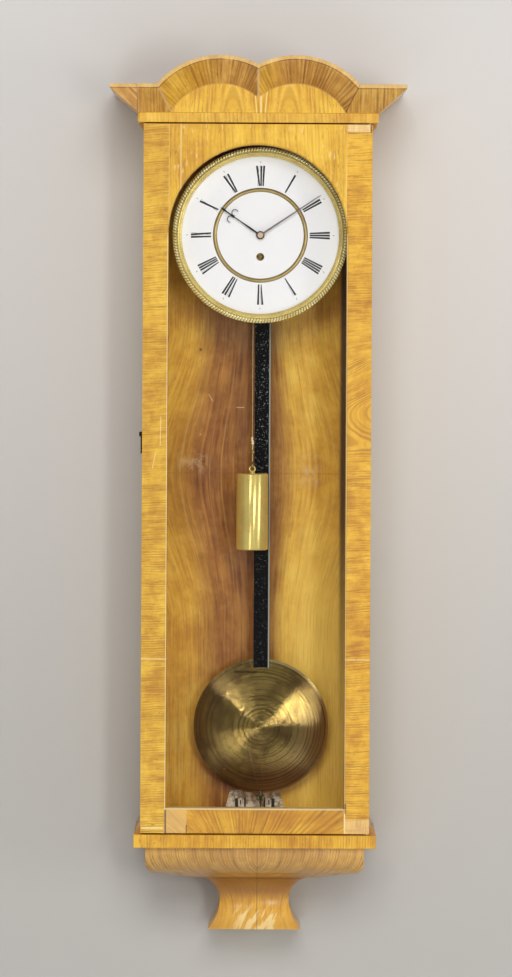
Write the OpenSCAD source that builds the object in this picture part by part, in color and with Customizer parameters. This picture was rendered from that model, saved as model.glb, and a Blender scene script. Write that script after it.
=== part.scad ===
// Vienna regulator wall clock in a glazed fruitwood case, in millimetres.
// The origin is the hanging hole, on the wall plane. The clock's front faces -Y and +Z is up.
// Depths are given as distances forward of the wall, so a depth f lies at y = -f.

/* [Case] */
// Height of the hanging hole above the foot of the bottom bracket
hanger_h = 868; // [840:1:880]
// Height of the bottom bracket
drop_h = 98; // [80:1:120]
// Thickness of the base board
base_t = 14.5; // [10:0.5:20]
// How far the base board stands out past the case sides
base_out = 9.5; // [6:0.5:16]
// Height of the case sides, between the base board and the top board
side_h = 783.5; // [760:0.5:800]
// Half width of the case over its sides
case_half = 124; // [120:0.5:130]
// Thickness of the case sides
side_t = 10; // [7:0.5:14]
// Thickness of the back board
back_t = 10; // [6:0.5:14]
// Depth of the case sides from the wall
case_d = 115; // [113:0.5:125]
// Thickness of the top board, whose front edge is the band above the door
top_t = 10.8; // [8:0.1:14]
// How far the top board stands out past the case sides
top_out = 8.7; // [7:0.1:14]
// How far the top and base boards stand forward of the door
front_out = 3.5; // [2:0.5:6]
// Width of the small mouldings on the case sides
side_mould_w = 6.6; // [4:0.1:8]
// Height of the small mouldings on the case sides
side_mould_h = 14; // [10:0.5:20]

/* [Cornice] */
// Height of the cornice moulding with its fillet
cornice_h = 30; // [26:0.5:34]
// Height of the plain fillet on top of the bevel
fillet_h = 4; // [2:0.5:6]
// How far the cornice stands out to the front and the sides
cornice_f = 30; // [24:0.5:36]
// Distance of each arch centre from the middle of the clock
arch_x = 41.5; // [36:0.5:44]
// Inner radius of the cornice arches
arch_r = 62.4; // [58:0.1:66]
// How far the arch centres lie below the top of the top board
arch_drop = 30.8; // [26:0.2:36]
// Thickness of the pediment panel
panel_t = 12; // [8:0.5:16]
// How far the left return stops short of the cornice's front edge
return_setback = 1.5; // [0.5:0.5:4]

/* [Door] */
// How far the door stands out past the case sides
door_out = 2; // [1:0.1:3]
// Thickness of the door frame
door_t = 22; // [18:0.5:26]
// Width of the door stiles
stile_w = 28; // [24:0.5:28]
// Height of the bottom rail
rail_h = 27.5; // [24:0.5:32]
// Gap above and below the door
door_gap = 1.5; // [1:0.1:2.5]
// Gap between the door's back and the case sides
door_seat_gap = 0.5; // [0.3:0.1:1]
// Height of the glass arch's centre above the door's foot
door_arch_h = 659.5; // [640:0.5:665]
// Width of the bevel round the opening
edge_bevel = 2; // [1:0.5:3]
// Width of the rebate that the glass lies in
rebate_w = 6; // [4:0.5:8]
// Depth of the glass rebate
rebate_d = 6; // [5:0.5:8]
// Thickness of the glass
glass_t = 2; // [1.5:0.1:3]
// Radius of the door's pivot pins
pivot_r = 1.5; // [1:0.1:2]
// Distance of the pivot from the door's right edge
pivot_inset = 3; // [2.5:0.1:3.2]

/* [Dial and hands] */
// Offset of the movement to the right of the case's middle
movement_x = 3; // [-4:0.5:6]
// Height of the dial centre above the foot
dial_h = 773; // [768:0.5:782]
// Radius of the white enamel
enamel_r = 87.3; // [80:0.1:90]
// Radius of the brass bezel
bezel_r = 97.6; // [93:0.1:100]
// Inner radius of the brass ring between the enamel parts
ring_in_r = 48.1; // [44:0.1:50]
// Outer radius of the brass ring between the enamel parts
ring_out_r = 52.6; // [51:0.1:56]
// Length of the minute hand
minute_l = 82; // [70:0.5:86]
// Length of the hour hand
hour_l = 54; // [48:0.5:60]
// Clock angle of the minute hand at rest
minute_angle = 56.3; // [0:0.1:359]
// Radius of the winding hole
winding_r = 4.4; // [3.5:0.1:5]

/* [Movement] */
// Half width of the movement plates
plate_half = 38; // [36:0.5:44]
// How far the plates reach below the dial centre
plate_down = 40; // [38:0.5:46]
// How far the plates reach above the dial centre
plate_up = 50; // [46:0.5:54]
// Thickness of the movement plates
plate_t = 3; // [2:0.1:4]
// Depth of the back plate's back face
back_plate_f = 50; // [50:0.5:52]
// Distance between the two plates
plate_gap = 34; // [33:0.5:36]
// Distance of the barrel below the centre arbor
barrel_drop = 24; // [22:0.5:25]
// Radius at which the gut line leaves the barrel
barrel_r = 7.64; // [6:0.02:9]
// Radius of the pivots
pivot_pin_r = 1; // [0.7:0.05:1.3]
// Running clearance of shafts in their holes
fit = 0.05; // [0.02:0.01:0.08]

/* [Pendulum] */
// Offset of the pendulum to the right of the case's middle
pend_x = 6.5; // [3:0.5:8]
// Height of the suspension point above the dial centre
susp_up = 37.4; // [36:0.1:42]
// Depth of the pendulum's middle plane
pend_f = 35; // [33:0.5:36]
// Length from the suspension point to the bob's middle
pend_l = 587; // [570:1:600]
// Width of the ebonised rod
rod_w = 17.5; // [14:0.5:20]
// Thickness of the ebonised rod
rod_t = 7; // [5:0.5:8]
// Radius of the bob
bob_r = 75.5; // [68:0.5:77]
// Half thickness of the bob at its middle
bob_half_t = 13; // [9:0.5:14]
// Half thickness of the bob at its rim
rim_half_t = 0.9; // [0.8:0.1:2]
// Thickness of the bob's brass shells
shell_t = 1; // [0.8:0.1:1.5]
// Width of the beat scale at its foot
scale_w = 72; // [60:1:84]
// Height of the beat scale
scale_h = 31; // [24:0.5:36]

/* [Weight] */
// Radius of the weight
weight_r = 17.7; // [14:0.1:19]
// Height of the weight
weight_h = 85; // [70:0.5:100]
// Height of the weight's foot above the foot of the clock
weight_z = 423; // [400:0.5:450]
// Diameter of the gut line
line_d = 1.2; // [1:0.1:1.6]
// Depth of the line and of the weight's axis
weight_f = 71; // [70:0.5:74]

/* [Hidden] */
$fn = 96;

wood = [0.86, 0.66, 0.33];
pale_wood = [0.90, 0.72, 0.40];
brown_wood = [0.66, 0.45, 0.24];
brass = [0.72, 0.60, 0.32];
steel = [0.45, 0.45, 0.47];
black = [0.07, 0.07, 0.08];
white = [0.96, 0.96, 0.95];

// Heights, measured from the hanging hole
foot_z = -hanger_h;
base_z = foot_z + drop_h;
side_z = base_z + base_t;
top_z = side_z + side_h;
pediment_z = top_z + top_t;
cornice_z = pediment_z + cornice_h;
dial_z = foot_z + dial_h;
susp_z = dial_z + susp_up;
bob_z = susp_z - pend_l;
barrel_z = dial_z - barrel_drop;

// Half widths of what stands out past the case sides
door_half = case_half + door_out;
top_half = case_half + top_out;
base_half = case_half + base_out;

// Depths, measured forward from the wall
dial_gap = 6.8;
dial_plate_t = 1.2;
enamel_t = 2.2;
hour_hand_gap = 2.4;
hands_gap = 2.8;
door_back_f = case_d + door_seat_gap;
door_f = door_back_f + door_t;
front_f = door_f + front_out;
pivot_f = door_back_f + door_t / 2;
front_plate_f = back_plate_f + plate_t + plate_gap;
plate_front_f = front_plate_f + plate_t;
dial_back_f = plate_front_f + dial_gap;
enamel_f = dial_back_f + dial_plate_t;
enamel_front_f = enamel_f + enamel_t;
hour_hand_f = enamel_front_f + hour_hand_gap;
minute_hand_f = hour_hand_f + hands_gap;

// Door outlines
door_z = side_z + door_gap;
door_top_z = top_z - door_gap;
open_half = door_half - stile_w;
open_z = door_z + rail_h;
arch_z = door_z + door_arch_h;
pivot_x = door_half - pivot_inset;
glass_f = door_back_f + rebate_d - glass_t;

// Solid blocks and turned shapes, placed by x, forward depth and height
module block(x0, x1, f0, f1, z0, z1) {
    translate([x0, -f1, z0]) cube([x1 - x0, f1 - f0, z1 - z0]);
}
module forward(f0, f1) {
    translate([0, -f0, 0]) rotate([90, 0, 0]) linear_extrude(f1 - f0) children();
}
module sideways(x0, x1) {
    translate([x0, 0, 0]) rotate([90, 0, 90]) linear_extrude(x1 - x0) children();
}
module turned(x, z) {
    translate([x, 0, z]) rotate([90, 0, 0]) rotate_extrude() children();
}
module shaft(x, z, f0, f1, r) {
    translate([x, -f0, z]) rotate([90, 0, 0]) cylinder(h = f1 - f0, r = r);
}
module upright(x, f, z0, z1, r) {
    translate([x, -f, z0]) cylinder(h = z1 - z0, r = r);
}
module window(x0, z0, x1, z1) {
    translate([x0, z0]) square([x1 - x0, z1 - z0]);
}

// Case
// The hanging plate lies flush in the back board, over a deeper recess for the nail's head
hanger_t = 2;
hanger_r = 4;
hanger_half_w = 18;
hanger_half_h = 9;
nail_recess = 6;
nail_recess_d = 7.5;
plate_screw_x = 12.6;
plate_screw_r = 1.2;
plate_screw_l = 7;
module back_board() {
    color(wood) difference() {
        block(-case_half + side_t, case_half - side_t, 0, back_t, side_z, top_z);
        block(-hanger_half_w, hanger_half_w, -1, hanger_t, -hanger_half_h, hanger_half_h);
        block(-nail_recess, nail_recess, -1, nail_recess_d, -nail_recess, nail_recess);
        for (s = [-1, 1]) shaft(s * plate_screw_x, 0, -1, plate_screw_l, plate_screw_r);
    }
}
module side_board(s) {
    inner = case_half - side_t;
    color(wood) block(min(s * inner, s * case_half), max(s * inner, s * case_half),
        0, case_d, side_z, top_z);
}
module left_side() {
    color(wood) difference() {
        side_board(-1);
        sideways(-case_half - 1, -case_half + hook_screw_l) translate([-hook_f, hook_z])
            circle(r = hook_screw_r, $fn = 24);
    }
}
module right_side() {
    side_board(1);
}
pivot_plate_t = 1.2;
pivot_plate_l = 22;
pivot_plate_w = 9;
module pivot_plate(z0, z1, grow) {
    block(pivot_x - pivot_plate_l + 5 - grow, pivot_x + 2.5 + grow,
        pivot_f - pivot_plate_w / 2 - grow, pivot_f + pivot_plate_w / 2 + grow, z0, z1);
}
module top_board() {
    color(pale_wood) difference() {
        block(-top_half, top_half, 0, front_f, top_z, pediment_z);
        pivot_plate(top_z - 1, top_z + pivot_plate_t, 0);
    }
}
module base_board() {
    color(wood) difference() {
        block(-base_half, base_half, 0, front_f, base_z, side_z);
        pivot_plate(side_z - pivot_plate_t, side_z + 1, 0);
    }
}
// A hollow moulding under the top board and another on the base board, on each side
module side_mouldings() {
    lip = 1;
    centre_x = case_half + side_mould_h + lip;
    color(brown_wood) for (s = [-1, 1]) {
        x0 = min(s * case_half, s * (case_half + side_mould_w));
        x1 = x0 + side_mould_w;
        forward(0, case_d) difference() {
            window(x0, top_z - side_mould_h, x1, top_z);
            translate([s * centre_x, top_z - side_mould_h - lip]) circle(r = side_mould_h);
        }
        forward(0, case_d) difference() {
            window(x0, side_z, x1, side_z + side_mould_h);
            translate([s * centre_x, side_z + side_mould_h + lip]) circle(r = side_mould_h);
        }
    }
}

// Bottom bracket. The same outline, an ogee over a flaring foot, is seen from the front and the side
drop_front_half = 120.5;
drop_front_neck = 38.5;
drop_front_round = 14;
drop_side_edge = 132;
drop_side_neck = 60;
drop_side_round = 30;
under_z = foot_z + 0.673 * drop_h;
hollow_r = 28;
flare_r = 46;
neck_z = under_z - 6 - hollow_r;
module drop_profile(edge, neck, round_r) {
    far = neck + hollow_r;
    difference() {
        union() {
            window(0, under_z + round_r, edge, base_z);
            translate([edge - round_r, under_z + round_r]) circle(r = round_r);
            polygon([[0, foot_z], [far, foot_z], [far, neck_z + hollow_r], [edge - round_r, under_z],
                [edge - round_r, under_z + round_r], [0, under_z + round_r]]);
        }
        intersection() {
            translate([far, neck_z]) circle(r = hollow_r);
            window(0, neck_z, far + 1, neck_z + hollow_r);
        }
        intersection() {
            translate([neck + flare_r, neck_z]) circle(r = flare_r);
            window(0, foot_z - 1, far + 1, neck_z);
        }
    }
}
module drop_console() {
    color(wood) intersection() {
        forward(0, drop_side_edge) union() {
            drop_profile(drop_front_half, drop_front_neck, drop_front_round);
            mirror([1, 0]) drop_profile(drop_front_half, drop_front_neck, drop_front_round);
        }
        sideways(-drop_front_half, drop_front_half) mirror([1, 0])
            drop_profile(drop_side_edge, drop_side_neck, drop_side_round);
    }
}

// Pediment
arch_centre_z = pediment_z - arch_drop;
arch_out_r = arch_r + cornice_h;
bevel_h = cornice_h - fillet_h;
cornice_front_f = front_f + cornice_f;
// Where the arch mouldings meet the straight ones, on the inner and on the outer edge
meet_in_x = arch_x + sqrt(pow(arch_r, 2) - pow(arch_drop, 2));
meet_out_x = arch_x + sqrt(pow(arch_out_r, 2) - pow(arch_drop + cornice_h, 2));
meet_slope = (meet_out_x - meet_in_x) / cornice_h;
module pediment_outline(half) {
    intersection() {
        union() {
            for (s = [-1, 1]) translate([s * arch_x, arch_centre_z]) circle(r = arch_out_r);
            window(-half, pediment_z, half, cornice_z);
        }
        window(-half, pediment_z, half, arch_centre_z + arch_out_r + 1);
    }
}
module pediment_panel() {
    color(wood) forward(front_f - panel_t, front_f) pediment_outline(top_half);
}
module pediment_sides() {
    color(wood) for (s = [-1, 1])
        block(min(s * top_half, s * (top_half - panel_t)), max(s * top_half, s * (top_half - panel_t)),
            0, front_f - panel_t, pediment_z, cornice_z);
}
// Area over the right arch, up to the joint with the straight moulding
module arch_area() {
    low = 20;
    high = 60;
    polygon([[0, pediment_z - low], [meet_in_x - meet_slope * low, pediment_z - low],
        [meet_out_x + meet_slope * high, cornice_z + high], [0, cornice_z + high]]);
}
// The right arch's moulding: its outline minus a cone that widens towards the front
module right_arch_moulding() {
    color(brown_wood) difference() {
        forward(front_f, cornice_front_f) intersection() {
            pediment_outline(top_half);
            arch_area();
        }
        turned(arch_x, arch_centre_z) polygon([
            [0, front_f - 1], [arch_r - bevel_h / cornice_f, front_f - 1],
            [arch_r + bevel_h, cornice_front_f], [arch_r + bevel_h, cornice_front_f + 1],
            [0, cornice_front_f + 1]]);
    }
}
module left_arch_moulding() {
    mirror([1, 0, 0]) right_arch_moulding();
}
// A straight length of the same moulding, cut off at the joint with the arch
module straight_moulding(length) {
    difference() {
        sideways(0, length) polygon([
            [-front_f, pediment_z], [-cornice_front_f, pediment_z + bevel_h],
            [-cornice_front_f, cornice_z], [-front_f, cornice_z]]);
        forward(front_f - 1, cornice_front_f + 1) arch_area();
    }
}
module left_cornice() {
    color(brown_wood) mirror([1, 0, 0]) straight_moulding(top_half);
}
// Side profile of the cornice returns, from the case outward
module return_profile() {
    polygon([[top_half, pediment_z], [top_half + cornice_f, pediment_z + bevel_h],
        [top_half + cornice_f, cornice_z], [top_half, cornice_z]]);
}
// Everything on the front moulding's side of the mitre at the right corner
module mitre_area() {
    far = 200;
    translate([0, 0, pediment_z - 1]) linear_extrude(cornice_h + 2) polygon([
        [top_half - 1, -front_f + 1], [top_half + far, -front_f - far], [0, -front_f - far],
        [0, -front_f + 1]]);
}
module right_cornice() {
    color(brown_wood) intersection() {
        straight_moulding(top_half + cornice_f);
        mitre_area();
    }
}
module left_return() {
    color(brown_wood) forward(0, cornice_front_f - return_setback) mirror([1, 0]) return_profile();
}
module right_return() {
    color(brown_wood) difference() {
        forward(0, cornice_front_f) return_profile();
        mitre_area();
    }
}

// Hanging plate, let into the back board
module hanger_plate() {
    color(brass) difference() {
        block(-hanger_half_w, hanger_half_w, 0, hanger_t, -hanger_half_h, hanger_half_h);
        shaft(0, 0, -1, hanger_t + 1, hanger_r);
        for (s = [-1, 1]) shaft(s * plate_screw_x, 0, -1, hanger_t + 1, plate_screw_r);
    }
}
module hanger_screws() {
    color(steel) for (s = [-1, 1]) shaft(s * plate_screw_x, 0, 0, plate_screw_l, plate_screw_r);
}

// Beat scale on the back board, behind the pendulum's tip
scale_z = side_z + 5.5;
scale_t = 2;
scale_top = scale_w - 16;
module beat_scale() {
    color(white) forward(back_t, back_t + scale_t) polygon([
        [-scale_w / 2, scale_z], [scale_w / 2, scale_z],
        [scale_top / 2, scale_z + scale_h], [-scale_top / 2, scale_z + scale_h]]);
}

// Door hung on two pins, let into the base board and the top board
pin_l = 8;
module hinge_pins() {
    color(brass) {
        pivot_plate(side_z - pivot_plate_t, side_z, 0);
        upright(pivot_x, pivot_f, side_z, side_z + door_gap + pin_l, pivot_r);
        pivot_plate(top_z, top_z + pivot_plate_t, 0);
        upright(pivot_x, pivot_f, top_z - door_gap - pin_l, top_z, pivot_r);
    }
}
module hinge_sockets() {
    color(brass) difference() {
        union() {
            pivot_plate(door_z, door_z + pivot_plate_t, 0);
            pivot_plate(door_top_z - pivot_plate_t, door_top_z, 0);
        }
        upright(pivot_x, pivot_f, door_z - 1, door_top_z + 1, pivot_r + fit);
    }
}
// The door's opening, made larger by a margin
module opening(grow) {
    window(-open_half - grow, open_z - grow, open_half + grow, arch_z);
    translate([0, arch_z]) circle(r = open_half + grow);
}
module door_cuts() {
    forward(door_back_f - 1, door_f + 1) opening(0);
    forward(door_back_f - 1, door_back_f + rebate_d) opening(rebate_w);
    translate([0, 0, open_z]) linear_extrude(arch_z - open_z) polygon([
        [-open_half - edge_bevel - 1, -door_f - 1], [open_half + edge_bevel + 1, -door_f - 1],
        [open_half, -door_f + edge_bevel], [-open_half, -door_f + edge_bevel]]);
    sideways(-open_half, open_half) polygon([
        [-door_f - 1, open_z - edge_bevel - 1], [-door_f + edge_bevel, open_z],
        [-door_f + edge_bevel, open_z + 1], [-door_f - 1, open_z + 1]]);
    turned(0, arch_z) polygon([[0, door_f - edge_bevel], [open_half, door_f - edge_bevel],
        [open_half + edge_bevel + 1, door_f + 1], [0, door_f + 1]]);
    pivot_plate(door_z - 1, door_z + pivot_plate_t, 0);
    pivot_plate(door_top_z - pivot_plate_t, door_top_z + 1, 0);
    pivot_bore_l = pin_l + 1;
    upright(pivot_x, pivot_f, door_z - 1, door_z + pivot_bore_l, pivot_r + 0.4);
    upright(pivot_x, pivot_f, door_top_z - pivot_bore_l, door_top_z + 1, pivot_r + 0.4);
}
module stile(s) {
    color(wood) difference() {
        block(min(s * open_half, s * door_half), max(s * open_half, s * door_half),
            door_back_f, door_f, door_z, door_top_z);
        door_cuts();
    }
}
module left_stile() {
    color(wood) difference() {
        stile(-1);
        sideways(-door_half - 1, -door_half + peg_l) translate([-peg_f, hook_z])
            circle(r = peg_r, $fn = 24);
    }
}
module right_stile() {
    stile(1);
}
horn = 8;
module top_rail() {
    color(wood) difference() {
        block(-open_half, open_half, door_back_f, door_f, arch_z + horn, door_top_z);
        door_cuts();
    }
}
module bottom_rail() {
    color(wood) difference() {
        block(-open_half, open_half, door_back_f, door_f, door_z, open_z);
        door_cuts();
    }
}
glass_play = 0.5;
module door_glass() {
    color([0.85, 0.92, 0.95, 0.3]) forward(glass_f, glass_f + glass_t)
        opening(rebate_w - glass_play);
}
bead_t = 3.4;
module glass_beads() {
    f0 = glass_f - bead_t;
    z0 = open_z - rebate_w + glass_play;
    color(wood) {
        for (s = [-1, 1]) {
            a = s * (open_half + 0.5);
            b = s * (open_half + rebate_w - glass_play);
            block(min(a, b), max(a, b), f0, glass_f, z0, arch_z);
        }
        block(-open_half - 0.5, open_half + 0.5, f0, glass_f, z0, open_z - 0.5);
        forward(f0, glass_f) intersection() {
            difference() {
                translate([0, arch_z]) circle(r = open_half + rebate_w - glass_play);
                translate([0, arch_z]) circle(r = open_half + 0.5);
            }
            window(-door_half, arch_z, door_half, arch_z + door_half);
        }
    }
}

// Small iron hook on the case's left side, and the peg on the door that it catches
hook_z = foot_z + 552;
hook_f = case_d - 9;
hook_l = 18;
hook_t = 2;
hook_screw_r = 1.3;
hook_screw_l = 7;
peg_f = hook_f + hook_l;
peg_r = 1.3;
peg_l = 7;
hook_gap = 0.4;
hook_x = -door_half - hook_gap;
module hook_peg() {
    color(black) sideways(hook_x - hook_t - 1, -door_half + peg_l) translate([-peg_f, hook_z])
        circle(r = peg_r, $fn = 24);
}
module hook_screw() {
    color(black) {
        sideways(hook_x - hook_t, -case_half + hook_screw_l) translate([-hook_f, hook_z])
            circle(r = hook_screw_r, $fn = 24);
        sideways(hook_x - hook_t - 1.6, hook_x - hook_t) translate([-hook_f, hook_z])
            circle(r = 2.6, $fn = 32);
        sideways(hook_x, -case_half) translate([-hook_f, hook_z]) circle(r = 2.4, $fn = 32);
    }
}
// At rest the hook hangs straight down from its screw
module side_hook() {
    slot_r = peg_r + 0.5;
    end_z = hook_z - hook_l;
    color(black) sideways(hook_x - hook_t, hook_x) difference() {
        union() {
            translate([-hook_f, hook_z]) circle(r = 3, $fn = 32);
            window(-hook_f - 1.4, end_z, -hook_f + 1.4, hook_z);
            translate([-hook_f, end_z]) circle(r = 3.4, $fn = 32);
        }
        translate([-hook_f, hook_z]) circle(r = hook_screw_r + fit, $fn = 24);
        translate([-hook_f, end_z]) circle(r = slot_r, $fn = 24);
        window(-hook_f - 6, end_z - slot_r, -hook_f, end_z + slot_r);
    }
}

// Wheels: a tooth every pitch, with its flanks given as shares of the pitch
function tooth_points(n, r_root, r_tip, w_root, w_tip) = [
    for (i = [0:n - 1], k = [0:3])
        let (pitch = 360 / n)
        let (r = (k == 0 || k == 3) ? r_root : r_tip)
        let (w = (k == 0) ? -w_root : (k == 1) ? -w_tip : (k == 2) ? w_tip : w_root)
        let (a = pitch * (i + w / 2))
        [r * cos(a), r * sin(a)]];
addendum = 0.85;
dedendum = 1.15;
module wheel_shape(n, mod, bore) {
    r = n * mod / 2;
    difference() {
        polygon(tooth_points(n, r - dedendum * mod, r + addendum * mod, 0.56, 0.24));
        circle(r = bore, $fn = 32);
    }
}
module spokes(r0, r1, w, n) {
    difference() {
        circle(r = r1);
        circle(r = r0);
        for (i = [0:n - 1]) rotate(360 / n * i) translate([0, -w / 2]) square([r1 + 1, w]);
    }
}
module pinion_shape(n, mod) {
    r = n * mod / 2;
    polygon(tooth_points(n, r - dedendum * mod, r + addendum * mod, 0.50, 0.24));
}

// Train: the modules follow from the centre distances
barrel_teeth = 96;
centre_leaves = 8;
centre_teeth = 80;
third_leaves = 8;
third_teeth = 78;
escape_leaves = 10;
escape_teeth = 30;
third_dx = -13;
third_dz = 12;
third_x = movement_x + third_dx;
third_z = dial_z + third_dz;
escape_mod = 0.4;
great_mod = 2 * barrel_drop / (barrel_teeth + centre_leaves);
third_mod = 2 * sqrt(pow(third_dx, 2) + pow(third_dz, 2)) / (centre_teeth + third_leaves);
escape_reach = escape_mod * (third_teeth + escape_leaves) / 2;
escape_dz = sqrt(pow(escape_reach, 2) - pow(pend_x - third_x, 2));
escape_z = third_z + escape_dz;
great_f = back_plate_f + plate_t + 4;
great_t = 2;
ratchet_f = great_f + great_t + 0.3;
ratchet_t = 1.6;
drum_f = ratchet_f + ratchet_t + 0.2;
drum_end_f = drum_f + 20;
arbor_r = 2.5;
wheel_t = 1.5;
centre_f = front_plate_f - 4;
third_f = back_plate_f + plate_t + 12;
escape_f = back_plate_f + plate_t + 22;
pin_back_f = back_plate_f + 0.5;
pin_front_f = plate_front_f - 0.5;
ratchet_r = 9.5;
click_reach = 14.5;
module great_wheel() {
    color(brass) {
        forward(great_f, great_f + great_t) translate([movement_x, barrel_z]) rotate(90)
            wheel_shape(barrel_teeth, great_mod, arbor_r + fit);
        shaft(movement_x - click_reach, barrel_z, great_f + great_t, ratchet_f + ratchet_t, 1);
    }
}
module click() {
    tip = ratchet_r + 0.25;
    color(steel) forward(ratchet_f, ratchet_f + ratchet_t)
        translate([movement_x - click_reach, barrel_z]) difference() {
            union() {
                circle(r = 2, $fn = 32);
                polygon([[-1.4, 0], [1.4, 0], [click_reach - tip * cos(38), tip * sin(38)],
                    [click_reach - (tip + 2) * cos(40), (tip + 2) * sin(40)]]);
            }
            circle(r = 1 + fit, $fn = 32);
        }
}
module winding_barrel() {
    square_side = 3.2;
    color(brass) {
        forward(ratchet_f, ratchet_f + ratchet_t) translate([movement_x, barrel_z])
            polygon([for (i = [0:23], k = [0:1]) let (a = 15 * (i + 0.85 * k))
                let (r = k == 0 ? ratchet_r - 1.4 : ratchet_r) [r * cos(a), r * sin(a)]]);
        shaft(movement_x, barrel_z, drum_f - 0.2, drum_f + 1, barrel_r + 2);
        shaft(movement_x, barrel_z, drum_f + 1, drum_end_f - 1, barrel_r - line_d / 2 - 0.1);
        shaft(movement_x, barrel_z, drum_end_f - 1, drum_end_f, barrel_r + 2);
    }
    color(steel) {
        shaft(movement_x, barrel_z, pin_back_f, drum_f, arbor_r);
        shaft(movement_x, barrel_z, drum_end_f, plate_front_f + 1, arbor_r);
        forward(plate_front_f, enamel_f) translate([movement_x, barrel_z])
            square(square_side, center = true);
    }
}
// Centre arbor, its wheel and pinion, and the cannon pinion that turns the motion work
minute_mod = 0.625;
hour_mod = 0.6;
cannon_leaves = 12;
minute_teeth = 36;
minute_leaves = 10;
hour_teeth = 40;
motion_dx = minute_mod * (cannon_leaves + minute_teeth) / 2;
motion_f = plate_front_f + 1;
motion_t = 1.6;
hour_wheel_f = motion_f + motion_t + 0.4;
cannon_r = 2.2;
pipe_r = 3.4;
module centre_wheel() {
    to_third = atan2(third_dz, third_dx);
    color(brass) {
        forward(centre_f, centre_f + wheel_t) translate([movement_x, dial_z]) difference() {
            rotate(to_third) wheel_shape(centre_teeth, third_mod, 0.5);
            spokes(4, centre_teeth * third_mod / 2 - 2.6, 2, 5);
        }
        forward(motion_f, motion_f + motion_t) translate([movement_x, dial_z])
            pinion_shape(cannon_leaves, minute_mod);
        shaft(movement_x, dial_z, motion_f, minute_hand_f - 0.4, cannon_r);
        shaft(movement_x, dial_z, minute_hand_f - 0.4, minute_hand_f + 1.6, cannon_r - 0.6);
    }
    color(steel) {
        forward(great_f - 1, great_f + great_t + 1) translate([movement_x, dial_z])
            rotate(-90 + 180 / centre_leaves) pinion_shape(centre_leaves, great_mod);
        shaft(movement_x, dial_z, pin_back_f, great_f - 1, pivot_pin_r);
        shaft(movement_x, dial_z, great_f + great_t + 1, plate_front_f + 1, pivot_pin_r + 0.2);
    }
}
module minute_wheel() {
    color(brass) forward(motion_f, motion_f + motion_t)
        translate([movement_x + motion_dx, dial_z])
        rotate(180 + 180 / minute_teeth) wheel_shape(minute_teeth, minute_mod, 1 + fit);
    color(steel) forward(hour_wheel_f - 0.4, hour_wheel_f + motion_t)
        translate([movement_x + motion_dx, dial_z]) difference() {
            rotate(180 + 180 / minute_leaves) pinion_shape(minute_leaves, hour_mod);
            circle(r = 1 + fit, $fn = 32);
        }
}
module hour_wheel() {
    color(brass) {
        forward(hour_wheel_f, hour_wheel_f + motion_t) translate([movement_x, dial_z])
            wheel_shape(hour_teeth, hour_mod, cannon_r + fit);
        forward(hour_wheel_f + motion_t, hour_hand_f + 0.6) translate([movement_x, dial_z])
            difference() {
                circle(r = pipe_r, $fn = 48);
                circle(r = cannon_r + fit, $fn = 48);
            }
    }
}
module third_wheel() {
    to_centre = atan2(-third_dz, -third_dx);
    to_escape = atan2(escape_dz, pend_x - third_x);
    color(brass) forward(third_f, third_f + wheel_t) translate([third_x, third_z]) difference() {
        rotate(to_escape) wheel_shape(third_teeth, escape_mod, 0.5);
        spokes(3.5, third_teeth * escape_mod / 2 - 2.4, 1.8, 5);
    }
    color(steel) {
        forward(centre_f - 1, centre_f + wheel_t + 1) translate([third_x, third_z])
            rotate(to_centre + 180 / third_leaves) pinion_shape(third_leaves, third_mod);
        shaft(third_x, third_z, pin_back_f, centre_f - 1, pivot_pin_r);
        shaft(third_x, third_z, centre_f + wheel_t + 1, pin_front_f, pivot_pin_r);
    }
}
escape_tip_r = 13.6;
module escape_wheel() {
    to_third = atan2(-escape_dz, third_x - pend_x);
    color(brass) forward(escape_f, escape_f + wheel_t) translate([pend_x, escape_z]) difference() {
        rotate(90) polygon(tooth_points(escape_teeth, escape_tip_r - 2.4, escape_tip_r, 0.40, 0.12));
        circle(r = 0.5, $fn = 24);
        spokes(3, escape_tip_r - 4.6, 1.6, 5);
    }
    color(steel) {
        forward(third_f - 1, third_f + wheel_t + 1) translate([pend_x, escape_z])
            rotate(to_third + 180 / escape_leaves) pinion_shape(escape_leaves, escape_mod);
        shaft(pend_x, escape_z, pin_back_f, third_f - 1, pivot_pin_r);
        shaft(pend_x, escape_z, third_f + wheel_t + 1, pin_front_f, pivot_pin_r);
    }
}
// Anchor, its arbor and the crutch that carries the pendulum along
pallet_angle = 42;
crutch_f = back_plate_f - 6;
crutch_t = 1.6;
crutch_l = 100;
crutch_pin_r = 1.2;
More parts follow.
